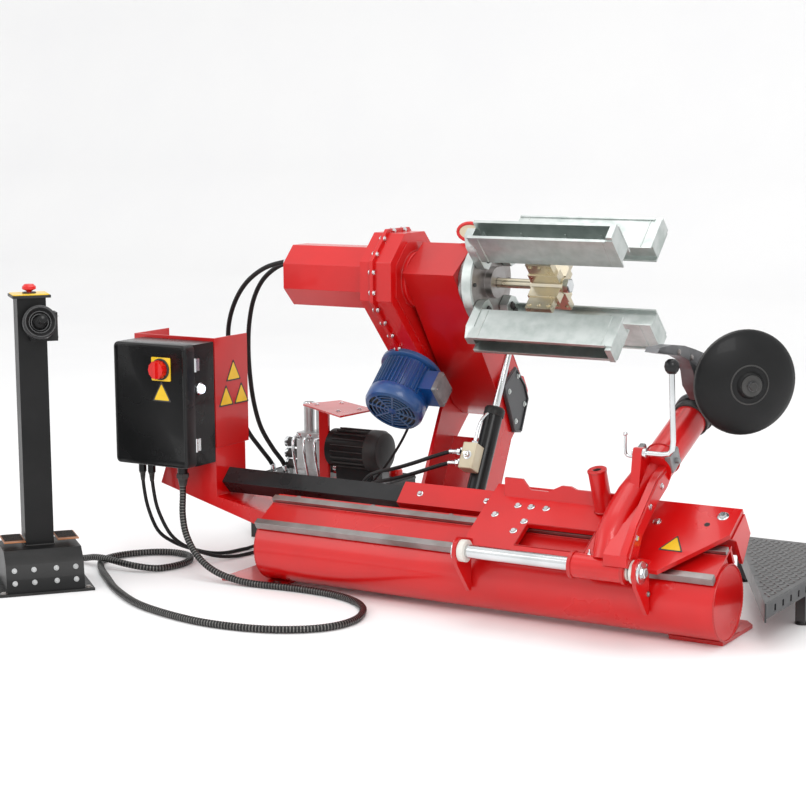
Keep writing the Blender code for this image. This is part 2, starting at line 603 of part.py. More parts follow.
def tool_head():
    axis = shift(*HEAD_TOP)
    run = (Vector(HEAD_TOP) - Vector(HEAD_LOW)).normalized()
    base = shift(*HEAD_LOW) + 0.3005 * run
    normal = Vector(DISC_NORMAL).normalized()
    disc = shift(*DISC_CENTRE)
    stub = disc - 0.150 * normal
    profile = [(0, -0.052), (0.0297, -0.052), (0.0297, 0), (0.060, 0), (0.062, 0.004), (0.062, 0.020),
               (0.052, 0.036), (0, 0.036)]
    flange = turned(profile, along(base, axis), 40)
    neck = swept([base + 0.018 * run, base + 0.047 * run, axis + Vector((0.012, 0.012, 0.060)),
                  axis + Vector((0.045, -0.020, 0.105)), stub + Vector((0, 0, 0.002))],
                 [0.046, 0.045, 0.044, 0.042, 0.040], 16)
    boss = rod(stub - 0.035 * normal, disc - 0.060 * normal, 0.044, 24)
    pin = rod(disc - 0.070 * normal, disc + 0.024 * normal, 0.014, 24)
    claw = [(-0.085, 0.826), (-0.035, 0.817), (0.010, 0.810), (0.076, 0.800), (0.130, 0.782),
            (0.165, 0.745),
            (0.180, 0.700), (0.240, 0.650), (0.330, 0.640), (0.345, 0.720), (0.333, 0.757), (0.255, 0.786),
            (0.175, 0.808), (0.100, 0.826), (0.019, 0.837), (-0.070, 0.838)]
    piece("tool_head", "steel", [flange, neck, boss, pin, prism(claw, across(), -0.2245, -0.1845)], (),
          axis)
    plate = [(0.0145, -0.022), (0.036, -0.022), (0.040, -0.012), (0.060, -0.0090), (0.080, -0.0115),
             (0.100, -0.0170), (0.120, -0.0255), (0.138, -0.0355), (0.150, -0.0450), (DISC_RADIUS, -0.0450),
             (DISC_RADIUS, -0.0410), (0.1495, -0.0368), (0.138, -0.0290), (0.120, -0.0195),
             (0.100, -0.0115),
             (0.080, -0.0058), (0.060, -0.0022), (0.040, 0.0000), (0.034, 0.0110), (0.0145, 0.0140)]
    piece("bead_disc", "black", [turned(plate, along(disc, disc + normal), 48, ring=True)], (), disc)


def pump():
    piece("pump_tank", "black", [block(-2.0, -1.5, 0.50, 0.80, 0, 0.22)],
          [block(-1.994, -1.506, 0.506, 0.794, 0.006, 0.214),
           rod(shift(-1.55, 0.75, 0.20), shift(-1.55, 0.75, 0.24),
                                                                  0.018, 20)])
    piece("pump_valves", "grey", [block(-1.84, -1.73, 0.560, 0.640, 0.2205, 0.380),
                                  rod(shift(-1.812, 0.60, 0.375), shift(-1.812, 0.60, 0.480), 0.019, 20),
                                  rod(shift(-1.760, 0.60, 0.375), shift(-1.760, 0.60, 0.480), 0.019, 20)])
    piece("pump_motor", "blue", [rod(shift(-1.665, 0.535, 0.345), shift(-1.460, 0.535, 0.345), 0.066, 28),
                                 block(-1.64, -1.49, 0.505, 0.565, 0.2205, 0.30)])
    cover = [(-1.754, 0.476), (-1.495, 0.312), (-1.476, 0.498), (-1.694, 0.616)]
    piece("pump_cover", "red", [prism(cover, flat(), 0.490, 0.496),
                                block(-1.705, -1.668, 0.50, 0.512, 0.2205, 0.4915),
                                block(-1.705, -1.668, 0.5005, 0.600, 0.2205, 0.228)])


def footboard():
    deck = [(0.120, -0.030), (0.130, 0.760), (-0.280, 0.760)]
    skirt = [(0.120, -0.030), (-0.280, 0.760), (-0.2756, 0.7623), (0.1244, -0.0277)]
    lip = [(0.120, -0.0295), (0.125, -0.0295), (0.135, 0.760), (0.130, 0.760)]
    slots = [block(0.1165, 0.16, y, y + 0.012, 0.108, 0.127)
             for y in [0.030 + 0.060 * k for k in range(12)]]
    legs = [block(-0.262, -0.232, 0.725, 0.755, 0, 0.138), block(0.085, 0.115, 0.715, 0.745, 0, 0.138),
            block(0.085, 0.115, 0.310, 0.340, 0, 0.138)]
    piece("footboard", "black",
          [prism(deck, flat(), 0.136, 0.141), prism(skirt, flat(), 0.086, 0.1405),
           prism(lip, flat(), 0.098, 0.1405)] + legs, slots)


def stand():
    frame = stand_frame()
    plate = rectangle(-0.135, 0.135, -0.150, 0.150)
    hood = [(-0.110, 0.0079), (0.118, 0.0079), (0.100, 0.095), (0.060, 0.130), (-0.110, 0.130)]
    side = frame @ Matrix(((1, 0, 0, 0), (0, 0, -1, 0), (0, 1, 0, 0), (0, 0, 0, 1)))
    cup_frame = frame @ Matrix.Translation((0.030, 0.018, 0.842)) @ Matrix.Rotation(math.radians(75), 4,
        "Y")
    cup = turned([(0, 0.010), (0.020, 0.010), (0.044, 0.030), (0.050, 0.030), (0.050, 0.0), (0.030, -0.018),
                  (0, -0.018)], cup_frame, 24)
    solids = [prism(plate, frame, 0, 0.008), prism(hood, side, -0.122, 0.122),
              prism(rectangle(-0.085, 0.005, -0.045, 0.045), frame, 0.125, 0.920),
              prism(rectangle(-0.095, 0.015, -0.060, 0.060), frame, 0.9195, 0.928),
              prism(rectangle(-0.070, -0.010, 0.0445, 0.082), frame, 0.780, 0.870),
              prism(rectangle(0.0, 0.040, -0.010, 0.040), frame, 0.786, 0.812), cup]
    cuts = [prism([(-0.104, 0.004), (0.111, 0.004), (0.095, 0.091), (0.057, 0.124), (-0.104, 0.124)],
                  side, -0.116, 0.116), prism(rectangle(-0.079, -0.001, -0.039, 0.039), frame, 0.10, 0.912),
            prism(rectangle(-0.080, 0.080, -0.09, 0.09), frame, -0.01, 0.02),
            turned([(0, 0.915), (0.0085, 0.915), (0.0085, 0.94), (0, 0.94)],
                   frame @ Matrix.Translation((-0.040, 0, 0)), 16)]
    piece("stand_base", "black", solids, cuts)
    for name, sign in (("pedal_left", -1), ("pedal_right", 1)):
        rows = rectangle(-0.070, 0.052, sign * 0.084 - 0.034, sign * 0.084 + 0.034)
        bar = rectangle(-0.078, -0.062, sign * 0.084 - 0.022, sign * 0.084 + 0.022)
        hinge = frame @ Vector((-0.070, sign * 0.084, 0.150))
        piece(name, "copper", [prism(rows, frame, 0.152, 0.156), prism(bar, frame, 0.1445, 0.155)], (),
              hinge)
    top = frame @ Vector((-0.040, 0, 0.934))
    piece("estop_button", "red",
          [turned([(0, 0.920), (0.008, 0.920), (0.008, 0.937), (0.012, 0.940), (0.022, 0.944),
                   (0.022, 0.952),
                   (0.014, 0.960), (0, 0.961)], frame @ Matrix.Translation((-0.040, 0, 0)), 24)], (), top)
    stick = cup_frame
    piece("joystick", "black",
          [turned([(0, 0.014), (0.007, 0.014), (0.007, 0.055), (0.012, 0.060), (0.016, 0.078),
                   (0.013, 0.094),
                   (0, 0.098)], stick, 20)], (), stick @ Vector((0, 0, 0.0145)))


CONDUIT = [(-1.887, -0.030, 0.3140), (-1.887, -0.030, 0.270), (-1.880, -0.045, 0.205),
           (-1.852, -0.068, 0.140),
           (-1.800, -0.090, 0.085), (-1.730, -0.108, 0.045), (-1.640, -0.112, 0.020),
           (-1.540, -0.105, 0.0112),
           (-1.400, -0.090, 0.0112), (-1.260, -0.098, 0.0112), (-1.150, -0.140, 0.0112),
           (-1.075, -0.215, 0.0112),
           (-1.035, -0.330, 0.0112), (-1.065, -0.440, 0.0112), (-1.160, -0.520, 0.0112),
           (-1.290, -0.560, 0.0112),
           (-1.460, -0.562, 0.0112), (-1.690, -0.500, 0.0112), (-1.880, -0.385, 0.0112),
           (-2.010, -0.275, 0.0112),
           (-2.120, -0.175, 0.0112), (-2.190, -0.080, 0.0112), (-2.180, 0.020, 0.0112),
           (-2.100, 0.110, 0.0112),
           (-2.010, 0.125, 0.0112), (-1.945, 0.075, 0.0112), (-1.925, -0.010, 0.0112),
           (-1.960, -0.100, 0.0130),
           (-2.040, -0.140, 0.0260), (-2.145, -0.138, 0.0350), (-2.215, -0.124, 0.0250),
           (-2.270, -0.120, 0.0135),
           (-2.3386, -0.1484, 0.0112), (-2.367, -0.217, 0.0180), (-2.3443, -0.2794, 0.0380),
           (-2.305, -0.3144, 0.0500), (-2.2613, -0.3511, 0.0510)]
BOX_CABLE_A = [(-2.061, -0.020, 0.3147), (-2.060, -0.018, 0.265), (-2.050, -0.010, 0.190),
               (-2.030, 0.015, 0.110),
               (-2.000, 0.058, 0.066), (-1.966, 0.108, 0.038), (-1.930, 0.170, 0.0150),
               (-1.905, 0.235, 0.0065),
               (-1.885, 0.320, 0.0065),
               (-1.855, 0.390, 0.025), (-1.842, 0.435, 0.062), (-1.840, 0.470, 0.080),
               (-1.840, 0.4990, 0.083)]
BOX_CABLE_B = [(-2.023, -0.020, 0.3147), (-2.020, -0.019, 0.265), (-2.008, -0.012, 0.190),
               (-1.980, 0.010, 0.110),
               (-1.950, 0.042, 0.066), (-1.915, 0.085, 0.038), (-1.875, 0.140, 0.0150),
               (-1.845, 0.210, 0.0065),
               (-1.825, 0.310, 0.0065),
               (-1.800, 0.390, 0.025), (-1.792, 0.435, 0.062), (-1.790, 0.470, 0.080),
               (-1.790, 0.4990, 0.083)]
UNION_HOSE_A = [(-1.6903, 0.405, 0.995), (-1.735, 0.405, 0.993), (-1.805, 0.410, 0.970),
                (-1.870, 0.418, 0.925),
                (-1.915, 0.426, 0.860), (-1.942, 0.434, 0.780), (-1.955, 0.442, 0.690),
                (-1.958, 0.452, 0.590),
                (-1.952, 0.464, 0.490), (-1.938, 0.484, 0.400), (-1.912, 0.515, 0.325),
                (-1.892, 0.545, 0.275),
                (-1.887, 0.558, 0.245), (-1.886, 0.560, 0.2230)]
UNION_HOSE_B = [(-1.6903, 0.345, 0.995), (-1.735, 0.345, 0.993), (-1.815, 0.348, 0.970),
                (-1.895, 0.358, 0.920),
                (-1.955, 0.370, 0.850), (-1.995, 0.385, 0.765), (-2.010, 0.402, 0.670),
                (-2.012, 0.420, 0.570),
                (-2.004, 0.442, 0.470), (-1.988, 0.475, 0.385), (-1.963, 0.515, 0.318),
                (-1.946, 0.548, 0.270),
                (-1.941, 0.560, 0.245), (-1.940, 0.562, 0.2230)]
LIFT_HOSE_A = [(-1.0255, 0.290, 0.420), (-1.060, 0.286, 0.418), (-1.115, 0.276, 0.400),
               (-1.190, 0.270, 0.372),
               (-1.270, 0.280, 0.345), (-1.350, 0.315, 0.322), (-1.425, 0.370, 0.290),
               (-1.485, 0.415, 0.240),
               (-1.522, 0.455, 0.196), (-1.530, 0.478, 0.185), (-1.532, 0.4985, 0.182)]
LIFT_HOSE_B = [(-1.0255, 0.280, 0.385), (-1.060, 0.276, 0.383), (-1.115, 0.268, 0.365),
               (-1.190, 0.262, 0.338),
               (-1.270, 0.272, 0.312), (-1.350, 0.305, 0.290), (-1.430, 0.358, 0.255),
               (-1.495, 0.405, 0.200),
               (-1.544, 0.450, 0.162), (-1.555, 0.475, 0.151), (-1.557, 0.4985, 0.148)]
MOTOR_CABLE = [(-1.304, 0.4593, 0.5237), (-1.308, 0.472, 0.505), (-1.325, 0.478, 0.465),
               (-1.352, 0.470, 0.405),
               (-1.390, 0.458, 0.340), (-1.435, 0.450, 0.280), (-1.478, 0.452, 0.235),
               (-1.504, 0.468, 0.213),
               (-1.513, 0.484, 0.206), (-1.514, 0.4988, 0.204)]


def cords():
    cord("conduit", "grey", CONDUIT, 0.022, 0.060)
    cord("box_cable_a", "rubber", BOX_CABLE_A, 0.012, 0.030)
    cord("box_cable_b", "rubber", BOX_CABLE_B, 0.012, 0.030)
    cord("union_hose_a", "rubber", UNION_HOSE_A, 0.016, 0.040)
    cord("union_hose_b", "rubber", UNION_HOSE_B, 0.016, 0.040)
    cord("lift_hose_a", "rubber", LIFT_HOSE_A, 0.013, 0.032)
    cord("lift_hose_b", "rubber", LIFT_HOSE_B, 0.013, 0.032)
    cord("motor_cable", "rubber", MOTOR_CABLE, 0.009, 0.022)


bed()
control_cabinet()
rear_column()
mandrel_arm()
chuck()
drive()
lift()
carriage()
tool_arm()
tool_head()
pump()
footboard()
stand()
cords()
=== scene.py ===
"""A hydraulic truck tyre changer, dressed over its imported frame."""

import json
import math
import bpy
import bmesh
from mathutils import Matrix, Vector

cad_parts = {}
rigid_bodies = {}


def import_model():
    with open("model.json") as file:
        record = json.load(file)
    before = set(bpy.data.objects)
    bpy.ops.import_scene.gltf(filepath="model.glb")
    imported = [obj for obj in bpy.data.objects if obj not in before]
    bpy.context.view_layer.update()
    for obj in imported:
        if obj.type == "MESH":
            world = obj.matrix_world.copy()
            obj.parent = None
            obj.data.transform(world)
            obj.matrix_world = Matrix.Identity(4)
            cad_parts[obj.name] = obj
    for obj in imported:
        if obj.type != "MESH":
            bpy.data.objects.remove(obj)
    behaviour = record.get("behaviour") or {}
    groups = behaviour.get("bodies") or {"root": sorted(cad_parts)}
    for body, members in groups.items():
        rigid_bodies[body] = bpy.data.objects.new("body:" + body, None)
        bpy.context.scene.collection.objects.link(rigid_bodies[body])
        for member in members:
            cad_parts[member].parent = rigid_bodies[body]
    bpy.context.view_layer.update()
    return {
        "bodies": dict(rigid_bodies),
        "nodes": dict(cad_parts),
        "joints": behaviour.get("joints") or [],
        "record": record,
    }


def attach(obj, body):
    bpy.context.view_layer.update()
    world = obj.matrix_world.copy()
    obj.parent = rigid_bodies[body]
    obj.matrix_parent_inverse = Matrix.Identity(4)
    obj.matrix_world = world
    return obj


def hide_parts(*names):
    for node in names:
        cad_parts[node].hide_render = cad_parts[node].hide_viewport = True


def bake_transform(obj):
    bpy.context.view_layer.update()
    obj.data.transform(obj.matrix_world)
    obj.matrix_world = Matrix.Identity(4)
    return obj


for extra in list(bpy.data.objects):
    bpy.data.objects.remove(extra)
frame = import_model()
nodes = frame["nodes"]

RIGHT = (1, 0, 0)
LEFT = (-1, 0, 0)
NEAR = (0, -1, 0)
UP = (0, 0, 1)
TUBE_END = 0.09
CONDUIT_WIDTH = 0.022
CABLE_WIDTH = 0.012
HOSE_STEPS = 14
HOSE_SPACING = 0.015
FLOOR_GAP = 0.0004
VIEW_LENS = 88.41
VIEW_SPOT = (2.12805, -5.08138, 1.50131)
VIEW_YAW, VIEW_PITCH, VIEW_ROLL = math.radians(31.38), math.radians(8.5), math.radians(-0.41)
CHUCK = (0.377, 0.954)
SHAFT = (-0.175, 0.222)
BED = (-0.0676, 0.234)
BED_RUN = (0.857, 0.515)
PIVOT = (0.67, 0.545)
LIFT_X = -0.985
LIFT_FOOT = (0.25, 0.17)
LIFT_HEAD = (0.558, 0.757)
MOTOR_X = -1.3
MOTOR_FACE = (0.455, 0.646)
MOTOR_RUN = (-0.7335, -0.6797)
HEAD_LOW = (-0.25, 0.052, 0.47)
HEAD_TOP = (-0.25, 0.352, 0.603)
DISC_CENTRE = (-0.015, 0.175, 0.715)
DISC_NORMAL = (0.71, -0.76, -0.06)
SWITCH = (-1.895, 0.677)
START_PLACE = (-0.045, 0.611)
STAND = (-2.168, -0.415)
STAND_YAW = math.radians(50.0)
ARM_DOWN = (0.572, -0.82)
ARM_BACK = (0.82, 0.572)
ARM_CORNER = (0.27, 0.98)
GEARBOX = [(0.227, 0.892), (0.227, 1.016), (0.315, 1.104), (0.439, 1.104), (0.527, 1.016), (0.675, 0.805),
    (0.66, 0.66), (0.53, 0.565)][::-1]
CONDUIT = [(-1.887, -0.03, 0.314), (-1.887, -0.03, 0.27), (-1.88, -0.045, 0.205), (-1.852, -0.068, 0.14),
    (-1.8, -0.09, 0.085), (-1.73, -0.108, 0.045), (-1.64, -0.112, 0.02), (-1.54, -0.105, 0.0112),
    (-1.4, -0.09, 0.0112), (-1.26, -0.098, 0.0112), (-1.15, -0.14, 0.0112), (-1.075, -0.215, 0.0112),
    (-1.035, -0.33, 0.0112), (-1.065, -0.44, 0.0112), (-1.16, -0.52, 0.0112), (-1.29, -0.56, 0.0112),
    (-1.46, -0.562, 0.0112), (-1.69, -0.5, 0.0112), (-1.88, -0.385, 0.0112), (-2.01, -0.275, 0.0112),
    (-2.12, -0.175, 0.0112), (-2.19, -0.08, 0.0112), (-2.18, 0.02, 0.0112), (-2.1, 0.11, 0.0112),
    (-2.01, 0.125, 0.0112), (-1.945, 0.075, 0.0112), (-1.925, -0.01, 0.0112), (-1.96, -0.1, 0.013),
    (-2.04, -0.14, 0.026), (-2.145, -0.138, 0.035), (-2.215, -0.124, 0.025), (-2.27, -0.12, 0.0135),
    (-2.3386, -0.1484, 0.0112), (-2.367, -0.217, 0.018), (-2.3443, -0.2794, 0.038), (-2.305, -0.3144, 0.05),
    (-2.2613, -0.3511, 0.051)]
BOX_CABLE_A = [(-2.061, -0.02, 0.3147), (-2.06, -0.018, 0.265), (-2.05, -0.01, 0.19), (-2.03, 0.015, 0.11),
    (-2.0, 0.058, 0.066), (-1.966, 0.108, 0.038), (-1.93, 0.17, 0.015), (-1.905, 0.235, 0.0065),
    (-1.885, 0.32, 0.0065), (-1.855, 0.39, 0.025), (-1.842, 0.435, 0.062), (-1.84, 0.47, 0.08),
    (-1.84, 0.499, 0.083)]
BOX_CABLE_B = [(-2.023, -0.02, 0.3147), (-2.02, -0.019, 0.265), (-2.008, -0.012, 0.19), (-1.98, 0.01, 0.11),
    (-1.95, 0.042, 0.066), (-1.915, 0.085, 0.038), (-1.875, 0.14, 0.015), (-1.845, 0.21, 0.0065),
    (-1.825, 0.31, 0.0065), (-1.8, 0.39, 0.025), (-1.792, 0.435, 0.062), (-1.79, 0.47, 0.08),
    (-1.79, 0.499, 0.083)]
UNION_HOSE_A = [(-1.6903, 0.405, 0.995), (-1.735, 0.405, 0.993), (-1.805, 0.41, 0.97), (-1.87, 0.418, 0.925),
    (-1.915, 0.426, 0.86), (-1.942, 0.434, 0.78), (-1.955, 0.442, 0.69), (-1.958, 0.452, 0.59),
    (-1.952, 0.464, 0.49), (-1.938, 0.484, 0.4), (-1.912, 0.515, 0.325), (-1.892, 0.545, 0.275),
    (-1.887, 0.558, 0.245), (-1.886, 0.56, 0.223)]
UNION_HOSE_B = [(-1.6903, 0.345, 0.995), (-1.735, 0.345, 0.993), (-1.815, 0.348, 0.97), (-1.895, 0.358, 0.92),
    (-1.955, 0.37, 0.85), (-1.995, 0.385, 0.765), (-2.01, 0.402, 0.67), (-2.012, 0.42, 0.57),
    (-2.004, 0.442, 0.47), (-1.988, 0.475, 0.385), (-1.963, 0.515, 0.318), (-1.946, 0.548, 0.27),
    (-1.941, 0.56, 0.245), (-1.94, 0.562, 0.223)]
LIFT_HOSE_A = [(-1.0255, 0.29, 0.42), (-1.06, 0.286, 0.418), (-1.115, 0.276, 0.4), (-1.19, 0.27, 0.372),
    (-1.27, 0.28, 0.345), (-1.35, 0.315, 0.322), (-1.425, 0.37, 0.29), (-1.485, 0.415, 0.24),
    (-1.522, 0.455, 0.196), (-1.53, 0.478, 0.185), (-1.532, 0.4985, 0.182)]
LIFT_HOSE_B = [(-1.0255, 0.28, 0.385), (-1.06, 0.276, 0.383), (-1.115, 0.268, 0.365), (-1.19, 0.262, 0.338),
    (-1.27, 0.272, 0.312), (-1.35, 0.305, 0.29), (-1.43, 0.358, 0.255), (-1.495, 0.405, 0.2),
    (-1.544, 0.45, 0.162), (-1.555, 0.475, 0.151), (-1.557, 0.4985, 0.148)]
MOTOR_CABLE = [(-1.304, 0.4593, 0.5237), (-1.308, 0.472, 0.505), (-1.325, 0.478, 0.465),
    (-1.352, 0.47, 0.405), (-1.39, 0.458, 0.34), (-1.435, 0.45, 0.28), (-1.478, 0.452, 0.235),
    (-1.504, 0.468, 0.213), (-1.513, 0.484, 0.206), (-1.514, 0.4988, 0.204)]
HOSES = (("union_hose_outer", "union_hose_a", UNION_HOSE_A, 0.016, ("arm", "chassis")),
         ("union_hose_inner", "union_hose_b", UNION_HOSE_B, 0.016, ("arm", "chassis")),
         ("lift_hose_upper", "lift_hose_a", LIFT_HOSE_A, 0.013, ("barrel", "chassis")),
         ("lift_hose_lower", "lift_hose_b", LIFT_HOSE_B, 0.013, ("barrel", "chassis")),
         ("motor_lead", "motor_cable", MOTOR_CABLE, 0.009, ("arm", "chassis")))


def shift(x, y, z):
    """A point of the drawing, moved TUBE_END along x."""
    return Vector((x + TUBE_END, y, z))


def across(y=0.0, z=0.0):
    return Matrix(((0, 0, 1, TUBE_END), (1, 0, 0, y), (0, 1, 0, z), (0, 0, 0, 1)))


def flat():
    return Matrix.Translation((TUBE_END, 0, 0))


def upright():
    return Matrix(((1, 0, 0, TUBE_END), (0, 0, -1, 0), (0, 1, 0, 0), (0, 0, 0, 1)))


def slope_frame():
    run, rise = BED_RUN
    return Matrix(((1, 0, 0, TUBE_END), (0, run, -rise, 0), (0, rise, run, 0), (0, 0, 0, 1)))


def along(start, end):
    """A frame at start whose height axis runs to end."""
    run = (Vector(end) - Vector(start)).normalized()
    side = Vector((1, 0, 0)) if abs(run.x) < 0.9 else Vector((0, 1, 0))
    first = (side - run * side.dot(run)).normalized()
    second = run.cross(first)
    result = Matrix.Identity(4)
    for row in range(3):
        result[row][0] = first[row]
        result[row][1] = second[row]
        result[row][2] = run[row]
        result[row][3] = start[row]
    return result


def stand_frame():
    return Matrix.Translation(shift(STAND[0], STAND[1], 0)) @ Matrix.Rotation(STAND_YAW - math.pi / 2, 4, "Z")


def on_arm(t, depth):
    y = ARM_CORNER[0] + t * ARM_DOWN[0] + depth * ARM_BACK[0]
    z = ARM_CORNER[1] + t * ARM_DOWN[1] + depth * ARM_BACK[1]
    return (y, z)


def on_motor(t):
    return (MOTOR_FACE[0] + t * MOTOR_RUN[0], MOTOR_FACE[1] + t * MOTOR_RUN[1])


def closed(shape, place):
    bmesh.ops.transform(shape, matrix=place, verts=shape.verts)
    bmesh.ops.recalc_face_normals(shape, faces=shape.faces)
    mesh = bpy.data.meshes.new("solid")
    shape.to_mesh(mesh)
    shape.free()
    return mesh


def prism(outline, frame, low, high):
    shape = bmesh.new()
    count = len(outline)
    bottom = [shape.verts.new((u, v, low)) for u, v in outline]
    top = [shape.verts.new((u, v, high)) for u, v in outline]
    shape.faces.new(bottom[::-1])
    shape.faces.new(top)
    for i in range(count):
        j = (i + 1) % count
        shape.faces.new((bottom[i], bottom[j], top[j], top[i]))
    return closed(shape, frame)


def rectangle(u0, u1, v0, v1):
    return [(u0, v0), (u1, v0), (u1, v1), (u0, v1)]


def circle(radius, count, start=0.0):
    """Points (u, v) spaced evenly round a circle."""
    turns = [start + 2 * math.pi * i / count for i in range(count)]
    return [(radius * math.cos(turn), radius * math.sin(turn)) for turn in turns]


def turned(profile, frame, steps=32, ring=False):
    """A profile of (radius, height) turned about the frame's height axis; ring joins its ends."""
    shape = bmesh.new()
    rows = []
    for radius, height in profile:
        if radius == 0:
            rows.append([shape.verts.new((0, 0, height))] * steps)
            continue
        rows.append([shape.verts.new((u, v, height)) for u, v in circle(radius, steps)])
    pairs = list(zip(rows, rows[1:]))
    if ring:
        pairs.append((rows[-1], rows[0]))
    for one, two in pairs:
        for i in range(steps):
            j = (i + 1) % steps
            corners = list(dict.fromkeys((one[i], one[j], two[j], two[i])))
            if len(corners) > 2:
                shape.faces.new(corners)
    return closed(shape, frame)


def collar(profile, frame, steps=32):
    """A turned ring, whose profile is closed."""
    return turned(profile, frame, steps, ring=True)


def chamfered(inner, outer, low, shoulder, top, high):
    """The profile of a disc or a ring whose outer edge narrows to radius top between shoulder and high."""
    return [(inner, low), (outer, low), (outer, shoulder), (top, high), (inner, high)]


def facing(spot, run):
    """A frame at spot whose height axis runs along run."""
    return along(spot, Vector(spot) + Vector(run))


def rod(start, end, radius, steps=24):
    length = (Vector(end) - Vector(start)).length
    return turned([(0, 0), (radius, 0), (radius, length), (0, length)], along(start, end), steps)


def ball(centre, radius, steps=16):
    shape = bmesh.new()
    bmesh.ops.create_uvsphere(shape, u_segments=steps, v_segments=steps // 2, radius=radius)
    return closed(shape, Matrix.Translation(centre))


def swept(points, radius, steps=10, loop=False):
    """A round bar through the points; each point may carry its own radius."""
    points = [Vector(p) for p in points]
    count = len(points)
    radii = radius if isinstance(radius, (list, tuple)) else [radius] * count
    shape = bmesh.new()
    rows = []
    side = None
    for i, point in enumerate(points):
        before = points[i - 1] if loop or i else point
        after = points[(i + 1) % count] if loop or i < count - 1 else point
        run = (after - before).normalized()
        if side is None:
            side = Vector((0, 0, 1)) if abs(run.z) < 0.9 else Vector((1, 0, 0))
        side = (side - run * side.dot(run)).normalized()
        other = run.cross(side)
        row = []
        for k in range(steps):
            turn = 2 * math.pi * k / steps
            row.append(shape.verts.new(point + radii[i] * (math.cos(turn) * side + math.sin(turn) * other)))
        rows.append(row)
    pairs = list(zip(rows, rows[1:]))
    if loop:
        pairs.append((rows[-1], rows[0]))
    for one, two in pairs:
        for k in range(steps):
            m = (k + 1) % steps
            shape.faces.new((one[k], one[m], two[m], two[k]))
    if not loop:
        shape.faces.new(rows[0][::-1])
        shape.faces.new(rows[-1])
    return closed(shape, Matrix.Identity(4))


def inset(outline, depth):
    """A convex outline moved inward."""
    area = sum(a[0] * b[1] - b[0] * a[1] for a, b in zip(outline, outline[1:] + outline[:1]))
    sign = 1 if area > 0 else -1
    result = []
    for i, corner in enumerate(outline):
        here = Vector(corner)
        one = (here - Vector(outline[i - 1])).normalized()
        two = (Vector(outline[(i + 1) % len(outline)]) - here).normalized()
        first = Vector((-one.y, one.x)) * sign
        second = Vector((-two.y, two.x)) * sign
        move = (first + second) / (1 + first.dot(second))
        result.append(tuple(here + depth * move))
    return result


def smooth_route(route, spacing):
    """A smooth curve through the route's points, with a point about every spacing."""
    route = [Vector(p) for p in route]
    fine = []
    for i in range(len(route) - 1):
        a = route[i - 1] if i else 2 * route[0] - route[1]
        b = route[i]
        c = route[i + 1]
        d = route[i + 2] if i + 2 < len(route) else 2 * c - b
        for k in range(12):
            t = k / 12
            fine.append(0.5 * (2 * b + (c - a) * t + (2 * a - 5 * b + 4 * c - d) * t * t
                + (3 * b - a - 3 * c + d) * t ** 3))
    fine.append(route[-1])
    total = sum((q - p).length for p, q in zip(fine, fine[1:]))
    count = max(4, round(total / spacing))
    step = total / count
    result = [fine[0]]
    travelled = 0.0
    for p, q in zip(fine, fine[1:]):
        length = (q - p).length
        while length > 0 and travelled + length >= step * len(result) and len(result) < count:
            result.append(p.lerp(q, (step * len(result) - travelled) / length))
        travelled += length
    result.append(fine[-1])
    return result


def octagon(centre, half):
    part = half * math.tan(math.pi / 8)
    return [(centre[0] + u, centre[1] + v) for u, v in ((half, -part), (half, part), (part, half),
        (-part, half), (-half, part), (-half, -part), (-part, -half), (part, -half))]


def block(x0, x1, y0, y1, z0, z1):
    return prism(rectangle(x0, x1, y0, y1), flat(), z0, z1)


def layered(rings, place):
    """A closed skin through rings of equal point count, each (outline, height)."""
    shape = bmesh.new()
    rows = [[shape.verts.new((u, v, height)) for u, v in outline] for outline, height in rings]
    count = len(rows[0])
    for one, two in zip(rows, rows[1:]):
        for i in range(count):
            j = (i + 1) % count
            shape.faces.new((one[i], one[j], two[j], two[i]))
    shape.faces.new(rows[0][::-1])
    shape.faces.new(rows[-1])
    return closed(shape, place)


def rounded(u0, u1, v0, v1, radius, steps=5):
    corners = ((u1 - radius, v1 - radius, 0), (u0 + radius, v1 - radius, 90), (u0 + radius, v0 + radius, 180),
        (u1 - radius, v0 + radius, 270))
    points = []
    for cu, cv, start in corners:
        for i in range(steps + 1):
            turn = math.radians(start + 90 * i / steps)
            points.append((cu + radius * math.cos(turn), cv + radius * math.sin(turn)))
    return points


def screw(centre, normal, size=0.008, height=0.006, washer=True):
    """A hexagon head with a chamfered top, on a round washer."""
    place = facing(centre, normal)
    head = turned(chamfered(0, size, 0.0002, height * 0.8, size * 0.86, height), place, 6)
    if not washer:
        return [head]
    ring = turned(chamfered(0, size * 1.45, -0.0004, 0.0011, size * 1.35, 0.0016), place, 20)
    return [ring, head]


def bolt_row(name, spots, normal, size, height, material, body):
    """A piece of washered heads that all face one way."""
    add(name, [mesh for spot in spots for mesh in screw(shift(*spot), normal, size, height)], material, body)


def bead(points, radius=0.0032, loop=False):
    """A weld: a run of small overlapping ripples."""
    fine = []
    run = [Vector(p) for p in points]
    if loop:
        run.append(run[0])
    for a, b in zip(run, run[1:]):
        count = max(1, round((b - a).length / 0.0045))
        fine += [a.lerp(b, i / count) for i in range(count)]
    if not loop:
        fine.append(run[-1])
    radii = [radius * (1.0 if i % 2 else 0.76) for i in range(len(fine))]
    return swept(fine, radii, 6, loop)


def seam(corners, radius=0.0032):
    return bead(corners, radius, loop=True)


def ring_points(centre, frame_matrix, radius, steps=48):
    return [frame_matrix @ Vector((centre[0] + u, centre[1] + v, centre[2])) for u, v in circle(radius,
        steps)]


def link(tree, source, output, target, socket):
    tree.links.new(source.outputs[output], target.inputs[socket])


